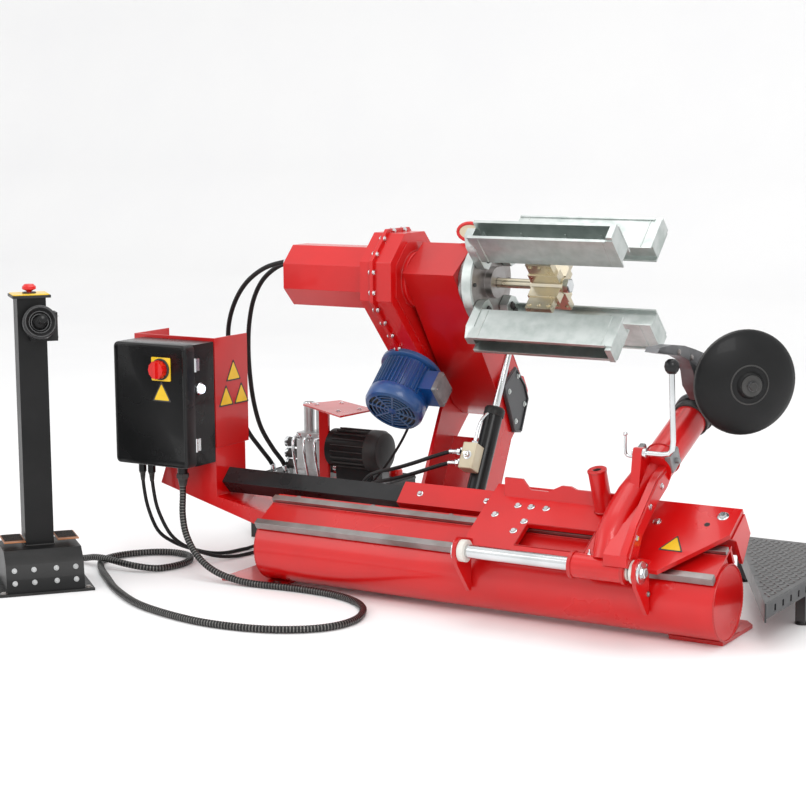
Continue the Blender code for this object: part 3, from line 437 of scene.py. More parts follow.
def surface(name, colour, rough, metal=0.0, coat=0.0, second=None, patch=7.0, grain=260.0, bump=0.06,
        wear=None, brushed=None, spread=0.1, glow=0.0, specular=0.5):
    """A Principled material whose colour, roughness and relief all vary through noise in object space."""
    material = bpy.data.materials.new(name)
    material.use_nodes = True
    tree = material.node_tree
    shader = tree.nodes["Principled BSDF"]
    new = tree.nodes.new
    place = new("ShaderNodeTexCoord")
    mapping = new("ShaderNodeMapping")
    if brushed:
        mapping.inputs["Scale"].default_value = brushed
    link(tree, place, "Object", mapping, "Vector")
    cloud = new("ShaderNodeTexNoise")
    cloud.inputs["Scale"].default_value = patch
    cloud.inputs["Detail"].default_value = 5.0
    link(tree, place, "Object", cloud, "Vector")
    fine = new("ShaderNodeTexNoise")
    fine.inputs["Scale"].default_value = grain
    fine.inputs["Detail"].default_value = 3.0
    link(tree, mapping, "Vector", fine, "Vector")
    mix = new("ShaderNodeMix")
    mix.data_type = "RGBA"
    other = second or tuple(c * 0.78 for c in colour)
    mix.inputs["A"].default_value = (*colour, 1)
    mix.inputs["B"].default_value = (*other, 1)
    soft = new("ShaderNodeMapRange")
    soft.inputs["From Min"].default_value = 0.38
    soft.inputs["From Max"].default_value = 0.72
    link(tree, cloud, "Fac", soft, "Value")
    tree.links.new(soft.outputs["Result"], mix.inputs["Factor"])
    last = mix.outputs["Result"]
    if wear:
        edge = new("ShaderNodeNewGeometry")
        sharp = new("ShaderNodeMapRange")
        sharp.inputs["From Min"].default_value = 0.535
        sharp.inputs["From Max"].default_value = 0.6
        link(tree, edge, "Pointiness", sharp, "Value")
        broken = new("ShaderNodeMath")
        broken.operation = "MULTIPLY"
        tree.links.new(sharp.outputs["Result"], broken.inputs[0])
        tree.links.new(cloud.outputs["Fac"], broken.inputs[1])
        worn = new("ShaderNodeMix")
        worn.data_type = "RGBA"
        worn.inputs["B"].default_value = (*wear, 1)
        tree.links.new(last, worn.inputs["A"])
        tree.links.new(broken.outputs["Value"], worn.inputs["Factor"])
        last = worn.outputs["Result"]
    tree.links.new(last, shader.inputs["Base Color"])
    gloss = new("ShaderNodeMapRange")
    gloss.inputs["To Min"].default_value = max(0.02, rough - spread)
    gloss.inputs["To Max"].default_value = min(1.0, rough + spread)
    link(tree, fine if brushed else cloud, "Fac", gloss, "Value")
    tree.links.new(gloss.outputs["Result"], shader.inputs["Roughness"])
    relief = new("ShaderNodeBump")
    relief.inputs["Strength"].default_value = bump
    relief.inputs["Distance"].default_value = 0.0008
    link(tree, fine, "Fac", relief, "Height")
    link(tree, relief, "Normal", shader, "Normal")
    shader.inputs["Metallic"].default_value = metal
    shader.inputs["Specular IOR Level"].default_value = specular
    shader.inputs["Coat Weight"].default_value = coat
    shader.inputs["Coat Roughness"].default_value = 0.06
    if glow:
        shader.inputs["Emission Color"].default_value = (0.75, 0.86, 1, 1)
        shader.inputs["Emission Strength"].default_value = glow
    return material


RED = surface("red_gloss_paint", (0.62, 0.0016, 0.0022), 0.3, coat=0.3, second=(0.52, 0.001, 0.0015), patch=4,
    grain=170, bump=0.05, wear=(0.3, 0.012, 0.01))
BLACK = surface("black_gloss_paint", (0.005, 0.0053, 0.0056), 0.28, coat=0.16, second=(0.0085, 0.0085, 0.009),
    bump=0.05, specular=0.2, wear=(0.06, 0.06, 0.062))
SATIN_BLACK = surface("black_satin_paint", (0.007, 0.0072, 0.0074), 0.44, coat=0.06,
    second=(0.012, 0.012, 0.0125), specular=0.2, bump=0.1, wear=(0.1, 0.098, 0.095))
STEEL = surface("bare_steel", (0.36, 0.345, 0.34), 0.36, 1.0, second=(0.25, 0.225, 0.21), patch=16, grain=120,
    brushed=(0.25, 9, 9), bump=0.12, spread=0.13)
CHROME = surface("satin_chrome", (0.74, 0.76, 0.77), 0.17, 1.0, second=(0.62, 0.64, 0.65), patch=10, grain=90,
    brushed=(9, 1, 1), bump=0.03, spread=0.07)
ZINC = surface("bright_zinc", (0.6, 0.635, 0.62), 0.36, 1.0, second=(0.47, 0.52, 0.5), patch=26, grain=110,
    bump=0.07, spread=0.11)
YELLOW_ZINC = surface("yellow_zinc", (0.64, 0.57, 0.42), 0.3, 1.0, second=(0.57, 0.53, 0.44), patch=30,
    bump=0.06)
CAST = surface("dark_cast_steel", (0.058, 0.06, 0.063), 0.46, 0.7, second=(0.034, 0.036, 0.038), patch=22,
    grain=330, bump=0.35, wear=(0.28, 0.28, 0.29))
GREY = surface("grey_cast", (0.3, 0.31, 0.315), 0.45, 0.55, second=(0.2, 0.205, 0.21), patch=26, grain=340,
    bump=0.28)
ALLOY = surface("light_alloy", (0.56, 0.57, 0.57), 0.38, 0.8, second=(0.43, 0.44, 0.44), patch=24, grain=300,
    bump=0.18)
GUARD = surface("guard_grey_paint", (0.034, 0.037, 0.042), 0.42, coat=0.2, bump=0.1, wear=(0.16, 0.16, 0.165))
BLUE = surface("blue_enamel", (0.0025, 0.058, 0.235), 0.34, coat=0.35, second=(0.002, 0.042, 0.175), patch=9,
    bump=0.1, wear=(0.08, 0.15, 0.25))
NYLON = surface("white_nylon", (0.74, 0.73, 0.68), 0.45, second=(0.66, 0.64, 0.58), bump=0.05)
CREAM = surface("cream_enamel", (0.64, 0.585, 0.42), 0.38, coat=0.2, second=(0.53, 0.47, 0.32), bump=0.06)
COPPER = surface("copper_edge", (0.42, 0.175, 0.075), 0.4, 0.75, second=(0.25, 0.09, 0.035), patch=24,
    bump=0.12)
RUBBER = surface("hose_rubber", (0.0075, 0.0075, 0.008), 0.5, second=(0.014, 0.014, 0.0145), specular=0.3,
    patch=40, grain=700, bump=0.22)
BAND = surface("conduit_band", (0.2, 0.195, 0.185), 0.36, 0.9, second=(0.12, 0.115, 0.108), patch=60,
    bump=0.08)
SIGN = surface("sign_yellow", (0.86, 0.56, 0.012), 0.34, coat=0.2, second=(0.78, 0.48, 0.01), patch=20,
    bump=0.03)
BUTTON = surface("button_red", (0.7, 0.006, 0.004), 0.3, coat=0.3, second=(0.58, 0.004, 0.003), patch=20,
    bump=0.03)
LAMP = surface("lamp_white", (0.8, 0.85, 0.9), 0.25, second=(0.7, 0.77, 0.86), patch=60, bump=0.02, glow=1.6)
TREAD = surface("checker_black", (0.04, 0.041, 0.043), 0.36, 0.55, second=(0.026, 0.027, 0.029), patch=14,
    grain=260, bump=0.2, wear=(0.24, 0.235, 0.225))

SHADE = {"red_paint": RED, "black_paint": SATIN_BLACK, "steel": STEEL, "zinc": ZINC, "grey_paint": GREY,
    "blue_paint": BLUE, "nylon": NYLON, "black_plastic": BLACK, "red_plastic": BUTTON, "cord_rubber": RUBBER,
    "conduit_metal": BAND, "copper": COPPER, "cast": CAST, "clear_plastic": LAMP}
SLOT = {material.name: slot for slot, material in SHADE.items()}
SLOT |= {CHROME.name: "steel", YELLOW_ZINC.name: "zinc", ALLOY.name: "cast", GUARD.name: "grey_paint",
         CREAM.name: "nylon", SIGN.name: "red_plastic", TREAD.name: "black_paint"}
SPECIAL = {"guide_beam": BLACK, "tool_shaft": CHROME, "lift_rod": CHROME, "elbow_guard": GUARD,
    "tool_head": CAST, "bead_disc": SATIN_BLACK, "chuck_rod": YELLOW_ZINC, "lock_lever": CHROME,
    "arm_bushing": NYLON, "lift_barrel": BLACK, "pump_motor": SATIN_BLACK, "pump_valves": ALLOY,
    "pump_tank": SATIN_BLACK, "footboard": TREAD, "start_button": LAMP, "rotary_switch": BUTTON,
    "control_box": BLACK, "motor": BLUE, "stand_base": SATIN_BLACK, "pump_cover": RED, "joystick": BLACK}
SMOOTH = {"rotary_housing": 28, "gearbox_left_half": 28, "gearbox_right_half": 28, "spindle_gear": 20,
    "layshaft": 20}
ROUND = {"mandrel_arm": 0.004, "gearbox_left_half": 0.003, "gearbox_right_half": 0.003,
    "rotary_housing": 0.0035, "tool_arm": 0.0022, "carriage_plate": 0.002, "carriage_sleeve": 0.0025,
    "footboard": 0.0006}


def smoothing(angle):
    """Joins loose corners, then shades smooth across every edge flatter than angle."""
    group = bpy.data.node_groups.new("smooth_by_angle", "GeometryNodeTree")
    group.interface.new_socket("Geometry", in_out="INPUT", socket_type="NodeSocketGeometry")
    group.interface.new_socket("Geometry", in_out="OUTPUT", socket_type="NodeSocketGeometry")
    new = group.nodes.new
    start = new("NodeGroupInput")
    end = new("NodeGroupOutput")
    drop = new("GeometryNodeRemoveAttribute")
    drop.inputs["Name"].default_value = "custom_normal"
    merge = new("GeometryNodeMergeByDistance")
    merge.inputs["Distance"].default_value = 0.00001
    faces = new("GeometryNodeSetShadeSmooth")
    edges = new("GeometryNodeSetShadeSmooth")
    edges.domain = "EDGE"
    edges.inputs["Shade Smooth"].default_value = False
    turn = new("GeometryNodeInputMeshEdgeAngle")
    test = new("FunctionNodeCompare")
    test.data_type = "FLOAT"
    test.operation = "GREATER_THAN"
    test.inputs[1].default_value = math.radians(angle)
    chain = ((start, drop), (drop, merge), (merge, faces), (faces, edges), (edges, end))
    for a, b in chain:
        group.links.new(a.outputs[0], b.inputs[0])
    group.links.new(turn.outputs["Unsigned Angle"], test.inputs[0])
    group.links.new(test.outputs[0], edges.inputs["Selection"])
    return group


GROUPS = {angle: smoothing(angle) for angle in (20, 28, 38, 60)}


def finish_edges(obj, angle=38, width=0.0012):
    weld = obj.modifiers.new("weld", "NODES")
    weld.node_group = GROUPS[angle]
    if width:
        soft = obj.modifiers.new("edges", "BEVEL")
        soft.width = width
        soft.segments = 2
        soft.limit_method = "ANGLE"
        soft.angle_limit = math.radians(max(angle, 28) + 6)
        soft.harden_normals = True


def dress():
    for entry in frame["record"]["subparts"]:
        name = entry["node"]
        obj = nodes[name]
        material = SPECIAL.get(name, SHADE[entry["material_slot"]])
        obj.data.materials.clear()
        obj.data.materials.append(material)
        finish_edges(obj, SMOOTH.get(name, 38), ROUND.get(name, 0.001))


def add(name, solids, material, body, angle=38, width=0.0, slot=None):
    """One piece from several solids, riding on a body; its slot, the material's own unless one is given, is
    looked up but not given to the piece.
    """
    slot = slot or SLOT[material.name]
    shape = bmesh.new()
    for mesh in solids:
        shape.from_mesh(mesh)
        bpy.data.meshes.remove(mesh)
    mesh = bpy.data.meshes.new(name)
    shape.to_mesh(mesh)
    shape.free()
    mesh.materials.append(material)
    obj = bpy.data.objects.new(name, mesh)
    bpy.context.scene.collection.objects.link(obj)
    finish_edges(obj, angle, width)
    if body:
        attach(obj, body)
    return obj


def camera():
    data = bpy.data.cameras.new("view")
    data.lens = VIEW_LENS
    data.sensor_width = 36
    data.clip_end = 60
    level = math.cos(VIEW_PITCH)
    back = Vector((math.sin(VIEW_YAW) * level, -math.cos(VIEW_YAW) * level, math.sin(VIEW_PITCH)))
    right = Vector((0, 0, 1)).cross(back).normalized()
    up = back.cross(right)
    first = math.cos(VIEW_ROLL) * right + math.sin(VIEW_ROLL) * up
    second = -math.sin(VIEW_ROLL) * right + math.cos(VIEW_ROLL) * up
    obj = bpy.data.objects.new("view", data)
    place = Matrix((first, second, back)).transposed().to_4x4()
    place.translation = VIEW_SPOT
    obj.matrix_world = place
    bpy.context.scene.collection.objects.link(obj)
    bpy.context.scene.camera = obj


def grounded(points, diameter):
    for point in points:
        point.z = max(point.z, diameter / 2 + FLOOR_GAP)
    return points


def hose(name, node, route, diameter, bodies):
    points = grounded(smooth_route([shift(*p) for p in route], HOSE_SPACING), diameter)
    obj = add(name, [swept(points, diameter / 2, HOSE_STEPS)], RUBBER, None, 60)
    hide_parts(node)
    if len(bodies) == 1:
        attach(obj, bodies[0])
    else:
        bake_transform(obj)
    return points


def conduit():
    """Interlocked steel conduit: bright bands with dark grooves between them."""
    points = grounded(smooth_route([shift(*p) for p in CONDUIT], 0.06), CONDUIT_WIDTH)
    fine = grounded(smooth_route(points, 0.0033), CONDUIT_WIDTH)
    radii = [(0.011, 0.011, 0.01)[i % 3] for i in range(len(fine))]
    obj = add("conduit_cover", [swept(fine, radii, HOSE_STEPS)], BAND, "chassis", 60)
    obj.data.materials.append(RUBBER)
    for face in obj.data.polygons:
        row = min(face.vertices) // HOSE_STEPS
        face.material_index = 0 if row % 3 == 0 else 1
    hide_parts("conduit")
    path = grounded(smooth_route(points, 0.02), CONDUIT_WIDTH)


def cords():
    conduit()
    hose("box_cable_near", "box_cable_a", BOX_CABLE_A, CABLE_WIDTH, ("chassis",))
    hose("box_cable_far", "box_cable_b", BOX_CABLE_B, CABLE_WIDTH, ("chassis",))
    for name, node, route, diameter, bodies in HOSES:
        points = hose(name, node, route, diameter, bodies)
        for end, inner, body in ((points[0], points[2], bodies[0]), (points[-1], points[-3], "chassis")):
            place = along(end, inner)
            r = diameter / 2
            if diameter > 0.01:
                sleeve = [(r * 0.6, 0.01), (r * 1.28, 0.01), (r * 1.3, 0.014), (r * 1.3, 0.034)]
                sleeve += [(r * 1.12, 0.038), (r * 0.6, 0.038)]
                nut = chamfered(r * 0.6, r * 1.62, 0.0, 0.009, r * 1.45, 0.011)
                add(f"{name}_fitting_{body}", [collar(sleeve, place, 20), collar(nut, place, 6)], CHROME,
                    body)
            else:
                boot = [(r * 0.6, 0.0), (r * 2.0, 0.0), (r * 1.9, 0.006), (r * 1.15, 0.026), (r * 0.6, 0.026)]
                add(f"{name}_relief_{body}", [collar(boot, place, 16)], RUBBER, body)
    entries = (("near", BOX_CABLE_A, CABLE_WIDTH), ("far", BOX_CABLE_B, CABLE_WIDTH),
        ("conduit", CONDUIT, CONDUIT_WIDTH))
    for name, route, width in entries:
        r = width / 2
        place = facing(shift(*route[0]), (0, 0, -1))
        nut = chamfered(r * 0.7, r * 2.0, -0.01, 0.003, r * 1.8, 0.005)
        boot = [(r * 0.7, 0.004), (r * 1.55, 0.004), (r * 1.45, 0.012), (r * 1.12, 0.03), (r * 0.7, 0.03)]
        add(f"gland_{name}", [collar(nut, place, 6), collar(boot, place, 20)], SATIN_BLACK, "chassis",
            slot="black_plastic")


def triangle(centre, side, right, up, out, body, name):
    """A plain yellow triangle with a dark border: no symbol, no words."""
    centre, right, up, out = (Vector(v) for v in (centre, right, up, out))
    place = Matrix((right, up, out)).transposed().to_4x4()
    place.translation = centre
    for label, scale, high, material in (("border", 1.0, 0.0007, SATIN_BLACK), ("field", 0.8, 0.0011, SIGN)):
        r = side * scale / math.sqrt(3)
        points = []
        for k in range(3):
            turn = math.pi / 2 + k * 2 * math.pi / 3
            tip = Vector((math.cos(turn), math.sin(turn))) * r
            for lean in (-0.5, 0.0, 0.5):
                point = tip * 0.9 + Vector((math.cos(turn + lean), math.sin(turn + lean))) * r * 0.09
                points.append((point.x, point.y))
        add(f"{name}_{label}", [prism(points, place, -0.0004, high)], material, body)


def control_cabinet():
    insets = (0, 0, 0.0012, 0.004, 0.009)
    outer = [rounded(-2.092 + d, -1.798 - d, 0.358 + d, 0.757 - d, 0.016 - d * 0.5) for d in insets]
    deep = (0.0705, 0.11, 0.1145, 0.118, 0.1195)
    inner = rounded(-2.085, -1.805, 0.365, 0.75, 0.012)
    panel = [rounded(-2.083 + d, -1.807 - d, 0.367 + d, 0.748 - d, 0.014) for d in (0.0, 0.003)]
    rings = [(inner, 0.115), (inner, 0.0705)] + list(zip(outer, deep))
    rings += [(panel[0], 0.1195), (panel[1], 0.118)]
    lid = add("box_lid", [layered(rings, upright())], BLACK, "door", 38)
    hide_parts("box_door")
    seal = rounded(-2.086, -1.807, 0.364, 0.751, 0.012)
    add("box_gasket", [layered([(seal, 0.0688), (seal, 0.0705)], upright())], RUBBER, "door",
        slot="black_plastic")
    hinges = []
    for z in (0.43, 0.69):
        hinges += [rod(shift(-1.7965, -0.07, z - 0.022), shift(-1.7965, -0.07, z + 0.022), 0.0045, 16),
            block(-1.8005, -1.797, -0.066, -0.046, z - 0.02, z + 0.02)]
    add("box_hinges", hinges, CHROME, "chassis", width=0.0004)
    x, z = SWITCH
    plate = rounded(x - 0.038, x + 0.038, z - 0.038, z + 0.038, 0.004)
    add("switch_plate", [layered([(plate, 0.118), (plate, 0.1208), (inset(plate, 0.001), 0.1213)],
        upright())], SIGN, "door")
    knob = [collar(chamfered(0.03, 0.035, 0, 0.004, 0.0325, 0.006), facing(shift(x, -0.1215, z), NEAR), 32)]
    add("switch_collar", knob, SATIN_BLACK, "door", slot="black_plastic")
    grips = []
    for u, v in circle(0.0272, 12):
        grips.append(rod(shift(x + u, -0.1285, z + v), shift(x + u, -0.1485, z + v), 0.0032, 8))
    add("switch_grips", grips, BUTTON, "switch")
    triangle(shift(x, -0.1182, z - 0.083), 0.072, RIGHT, UP, NEAR, "door", "lid_sign")
    place = facing(shift(-1.7998, *START_PLACE), RIGHT)
    add("button_bezel", [collar(chamfered(0.0146, 0.02, 0, 0.005, 0.0175, 0.008), place)], CHROME, "chassis")
    for i, (y, z) in enumerate(((0.14, 0.64), (0.098, 0.56), (0.182, 0.56))):
        triangle(shift(-1.7998, y, z), 0.078, (0, 1, 0), UP, RIGHT, "chassis", f"bracket_sign_{i + 1}")
    add("box_mounting_plate", [block(-2.07, -1.82, 0.0285, 0.0305, 0.385, 0.735)], ZINC, "chassis")
    rails, boxes = [], []
    contactors, breakers = (4, 0.044, -0.02, -0.03, -0.019), (9, 0.02, 0.004, 0.0, 0.0045)
    for z, (count, wide, front, nose, root) in ((0.665, contactors), (0.56, contactors), (0.45, breakers)):
        rails.append(block(-2.055, -1.835, 0.0235, 0.028, z - 0.017, z + 0.017))
        for k in range(count):
            x = -2.045 + k * (wide + 0.004)
            boxes.append(block(x, x + wide, front, 0.023, z - 0.036, z + 0.036))
            boxes.append(block(x + 0.004, x + wide - 0.004, nose, root, z - 0.02, z + 0.02))
    add("box_rails", rails, CHROME, "chassis", width=0.0005)
    add("box_contactors", boxes, SATIN_BLACK, "chassis", width=0.0012, slot="black_plastic")
    bolt_row("bracket_bolts", [(x, 0.0465, z) for x in (-2.1, -1.83) for z in (0.45, 0.72)], (0, 1, 0), 0.008,
        0.006, CHROME, "chassis")
    add("bracket_welds", [bead([shift(-1.806, 0.048, 0.41), shift(-1.806, 0.048, 0.76)], 0.0025),
        bead([shift(-2.124, 0.048, 0.41), shift(-2.124, 0.048, 0.76)], 0.0025),
        bead([shift(-1.99, 0.197, 0.4065), shift(-1.82, 0.197, 0.4065)], 0.003)], RED, "chassis", 60)


def bed_detail():
    welds = [seam(ring_points((0, 0.1215, x), across(), 0.1082)) for x in (0.0, -1.5485)]
    for x in (-0.169, -0.005):
        welds.append(bead([shift(x, -0.02, 0.0125), shift(x, 0.1, 0.0125)], 0.0035))
    cy, cz = BED
    run, rise = BED_RUN

    def on_bed(x, s, n):
        return shift(x, cy + run * s - rise * n, cz + rise * s + run * n)

    welds.append(bead([on_bed(-1.547, -0.0235, -0.0125), on_bed(-0.006, -0.0235, -0.0125)], 0.0026))
    welds.append(bead([on_bed(-1.547, 0.0655, -0.014), on_bed(-0.006, 0.0655, -0.014)], 0.0026))
    add("bed_welds", welds, RED, "chassis", 60)
    bolts = []
    for i in range(6):
        bolts += screw(on_bed(-1.47 + i * 0.28, 0.1, -0.0143), (0, -rise, run), 0.0065, 0.005)
    add("bed_bolts", bolts, STEEL, "chassis")
    web = ((-0.0245, -0.0225), (0.066, -0.0225), (0.066, -0.075), (0.0, -0.062))
    plate = [(cy + run * s - rise * n, cz + rise * s + run * n) for s, n in web]
    add("bed_end_web", [prism(plate, across(), -0.0155, -0.0058), prism(plate, across(), -1.547, -1.537)],
        RED, "chassis", width=0.001)
    feet = []
    for x, y in ((-0.15, 0.215), (-1.68, -0.06), (-1.5, -0.06), (-1.68, 0.18)):
        feet.append(collar(chamfered(0.0075, 0.0155, 0.0, 0.0022, 0.0135, 0.003),
            Matrix.Translation(shift(x, y, 0.0117)), 24))
    add("foot_washers", feet, STEEL, "chassis")
    caps = [turned(chamfered(0, 0.0185, -0.0005, 0.003, 0.014, 0.006),
        facing(shift(-1.7995, 0.108, 0.29), LEFT), 24)]
    add("beam_plug", caps, RUBBER, "chassis")


def column_detail():
    welds = []
    for x, inner in ((-1.241, -1.238), (-1.024, -1.027)):
        welds.append(bead([shift(x, 0.266, 0.0135), shift(x, 0.432, 0.0135)], 0.0036))
        welds.append(bead([shift(inner, 0.432, 0.012), shift(inner, 0.626, 0.408)], 0.003))
    welds.append(bead([shift(-1.2, 0.25, 0.1905), shift(-1.06, 0.25, 0.1905)], 0.003))
    welds.append(seam([shift(x, y, 0.013) for x, y in rectangle(-1.201, -1.059, 0.131, 0.25)], 0.0032))
    add("column_welds", welds, RED, "chassis", 60)
    bolt_row("column_bolts", [(x, y, 0.0125) for x in (-1.282, -0.978) for y in (0.16, 0.36, 0.59)], UP,
        0.011, 0.008, STEEL, "chassis")
    pin = []
    low_cap = [(0, 0), (0.034, 0), (0.034, 0.0014), (0.0315, 0.002), (0.016, 0.002), (0.014, 0.0012),
        (0, 0.0012)]
    high_cap = [(0, 0), (0.034, 0), (0.034, 0.005), (0.031, 0.007), (0.02, 0.007), (0.018, 0.011), (0, 0.011)]
    for x, way, profile in ((-1.0238, RIGHT, low_cap), (-1.2522, LEFT, high_cap)):
        pin.append(turned(profile, facing(shift(x, *PIVOT), way)))
    add("pivot_caps", pin, STEEL, "chassis")
    bolt_row("guard_bolts", [(-1.0143, 0.595, 0.575), (-1.0143, 0.64, 0.47), (-1.0143, 0.7, 0.52),
        (-1.0143, 0.655, 0.62)], RIGHT, 0.0065, 0.005, ZINC, "chassis")
    outline = [(0.551, 0.6), (0.628, 0.434), (0.677, 0.427), (0.727, 0.535), (0.705, 0.585), (0.641, 0.652)]
    rim = inset(outline, 0.0055)
    add("guard_lip", [swept([shift(-1.0125, *p) for p in rim], 0.0035, 8, loop=True)], GUARD, "chassis", 60)


def arm_detail():
    flange = inset(GEARBOX, -0.012)
    add("gearbox_flange", [prism(flange, across(), -1.314, -1.302)], RED, "arm", 28, 0.0016)
    bolts, nuts = [], []
    for a, b in zip(flange, flange[1:] + flange[:1]):
        run = Vector(b) - Vector(a)
        count = max(1, round(run.length / 0.066))
        for k in range(count):
            spot = Vector(a) + run * (k + 0.5) / count
            middle = Vector((0.44, 0.85))
            spot += (middle - spot).normalized() * 0.007
            bolts += screw(shift(-1.3018, spot.x, spot.y), RIGHT, 0.0062, 0.006)
            nuts += screw(shift(-1.3142, spot.x, spot.y), LEFT, 0.0062, 0.006)
    add("gearbox_bolts", bolts, CHROME, "arm")
    add("gearbox_nuts", nuts, CHROME, "arm")
    cover = inset(GEARBOX, 0.028)
    add("gearbox_cover", [prism(cover, across(), -1.242, -1.2385)], RED, "arm", 28, 0.0012)
    plug = turned(chamfered(0, 0.013, 0, 0.005, 0.009, 0.007), facing(shift(-1.33, 0.377, 1.1035), UP), 6)
    add("oil_plug", [plug], CHROME, "arm")
    ring = octagon(CHUCK, 0.114)
    add("union_flange", [prism(ring, across(), -1.372, -1.358)], RED, "arm", 28, 0.0018)
    caps = [prism(octagon(CHUCK, 0.09), across(), -1.6935, -1.6895)]
    add("union_cap", caps, RED, "arm", 28, 0.001)
    studs = []
    for wide, small in zip(circle(0.108, 8, math.pi / 8), circle(0.076, 8, math.pi / 8)):
        studs += screw(shift(-1.3722, CHUCK[0] + wide[0], CHUCK[1] + wide[1]), LEFT, 0.0065, 0.006)
        studs += screw(shift(-1.6937, CHUCK[0] + small[0], CHUCK[1] + small[1]), LEFT, 0.0055, 0.005)
    add("union_bolts", studs, CHROME, "arm")
    edges = []
    for x in (-1.2245, -1.0405):
        edges.append(bead([shift(x, *on_arm(0.02, 0.0015)), shift(x, *on_arm(0.555, 0.0015))], 0.0022))
        edges.append(bead([shift(x, *on_arm(0.02, 0.1585)), shift(x, *on_arm(0.555, 0.1585))], 0.0022))
    edges.append(seam(ring_points((CHUCK[0], CHUCK[1], -1.2385), across(), 0.0915), 0.0026))
    add("arm_welds", edges, RED, "arm", 60)
    head = []
    centre = shift(-1.0028, *CHUCK)
    for u, v in circle(0.062, 6, 0.2):
        head += screw(centre + Vector((0, u, v)), RIGHT, 0.004, 0.002, False)
    add("bearing_screws", head, SATIN_BLACK, "arm")
    add("hoop_pad", [turned(rectangle(0, 1, -0.0012, 0.0012), Matrix.Translation(shift(-1.055, 0.408, 1.108))
        @ Matrix.Rotation(math.pi / 2, 4, "X") @ Matrix.Diagonal((0.04, 0.023, 1, 1)), 32)], CREAM, "arm")
    foot = [rod(shift(-1.055, 0.408, 1.07), shift(-1.055, 0.408, 1.083), 0.0065, 12),
        block(-1.085, -1.04, 0.398, 0.418, 1.062, 1.072)]
    add("hoop_foot", foot, RED, "arm", width=0.001)


def motor_detail():
    face = shift(MOTOR_X, *on_motor(0.0005))
    place = along(face, shift(MOTOR_X, *on_motor(0.1)))
    fins = []
    for i in range(44):
        turn = 2 * math.pi * i / 44
        if abs((turn + math.pi) % (2 * math.pi) - math.pi) < 0.42:
            continue
        spin = place @ Matrix.Rotation(turn, 4, "Z")
        fins.append(prism(rectangle(0.09, 0.099, -0.0011, 0.0011), spin, 0.022, 0.126))
    add("motor_fins", fins, BLUE, "arm")
    cowl = [collar([(0.0935, 0.128), (0.099, 0.13), (0.1, 0.134), (0.1, 0.166), (0.094, 0.176), (0.082, 0.18),
        (0.082, 0.1765), (0.0905, 0.173)], place, 48)]
    for r in (0.07, 0.056, 0.042, 0.028):
        cowl.append(collar(rectangle(r - 0.0022, r + 0.0022, 0.1735, 0.1785), place, 40))
    for i in range(8):
        spin = place @ Matrix.Rotation(math.pi / 8 + i * math.pi / 4, 4, "Z")
        cowl.append(prism(rectangle(0.01, 0.086, -0.0035, 0.0035), spin, 0.173, 0.179))
    cowl.append(turned(chamfered(0, 0.016, 0.1725, 0.179, 0.012, 0.1805), place, 24))
    add("motor_cowl", cowl, BLUE, "arm")
    add("motor_fan_shadow", [turned(rectangle(0, 0.082, 0.1702, 0.1716), place, 40)], SATIN_BLACK, "arm")
    base = along(shift(MOTOR_X, *on_motor(0.035)), shift(MOTOR_X, *on_motor(0.1)))
    lid = [rounded(-0.046 + d, 0.046 - d, -0.0015 + d, 0.0765 - d, 0.007) for d in (0, 0, 0.0025)]
    turn = base @ Matrix(((0, 0, 1, 0.1345), (1, 0, 0, 0), (0, 1, 0, 0), (0, 0, 0, 1)))
    add("terminal_lid", [layered(list(zip(lid, (0, 0.012, 0.015))), turn)], GREY, "arm")
    heads = []
    for u in (-0.036, 0.036):
        for v in (0.009, 0.066):
            heads += screw(turn @ Vector((u, v, 0.015)), turn.to_3x3() @ Vector((0, 0, 1)), 0.0034, 0.0026,
                False)
    add("terminal_screws", heads, CHROME, "arm")
    flange = collar(chamfered(0.06, 0.108, -0.0002, 0.011, 0.104, 0.014), place, 44)
    add("motor_flange", [flange], BLUE, "arm")


def lift_detail():
    foot, head = shift(LIFT_X, *LIFT_FOOT), shift(LIFT_X, *LIFT_HEAD)
    place = along(foot, head)
    add("lift_gland", [collar([(0.0135, 0.392), (0.0325, 0.392), (0.0335, 0.395), (0.0335, 0.414),
        (0.03, 0.42), (0.0135, 0.42)], place, 32), collar([(0.0305, 0.026), (0.0335, 0.026), (0.0335, 0.04),
        (0.0305, 0.044)], place, 32)], SATIN_BLACK, "barrel")
    valve = rounded(-0.038, 0.013, -0.084, -0.03, 0.006)
    add("lift_valve", [layered([(inset(valve, 0.002), 0.188), (valve, 0.19), (valve, 0.272),
        (inset(valve, 0.002), 0.274)], place)], CREAM, "barrel")
    fits = []
    for u, v, t, run, size in ((-0.038, -0.067, 0.212, (-1, 0, 0), 0.01),
            (-0.038, -0.067, 0.25, (-1, 0, 0), 0.01), (-0.01, -0.06, 0.274, (0, 0, 1), 0.011),
            (-0.012, -0.084, 0.231, (0, -1, 0), 0.01)):
        spot = place @ Vector((u, v, t))
        way = place.to_3x3() @ Vector(run)
        fits += screw(spot, way, size, 0.011)
        fits.append(rod(spot + 0.01 * way, spot + 0.022 * way, size * 0.55, 16))
    add("valve_fittings", fits, CHROME, "barrel")
    start = place @ Vector((-0.01, -0.06, 0.294))
    pipe_run = [start, place @ Vector((-0.01, -0.06, 0.33)), place @ Vector((-0.006, -0.056, 0.362)),
        place @ Vector((0, -0.045, 0.384)), place @ Vector((0, -0.03, 0.39))]
    add("valve_pipe", [swept(smooth_route(pipe_run, 0.008), 0.0045, 12)], CHROME, "barrel", 60)
    eyes = [collar(rectangle(0.0125, 0.023, 0.0, 0.003), facing(head + Vector((0.0145, 0, 0)), RIGHT), 28)]
    add("lift_clip", eyes, CHROME, "arm")
    add("lift_foot_clip", [collar(rectangle(0.0122, 0.022, 0.0, 0.003),
        facing(foot + Vector((0.0165, 0, 0)), RIGHT), 28)], CHROME, "chassis")


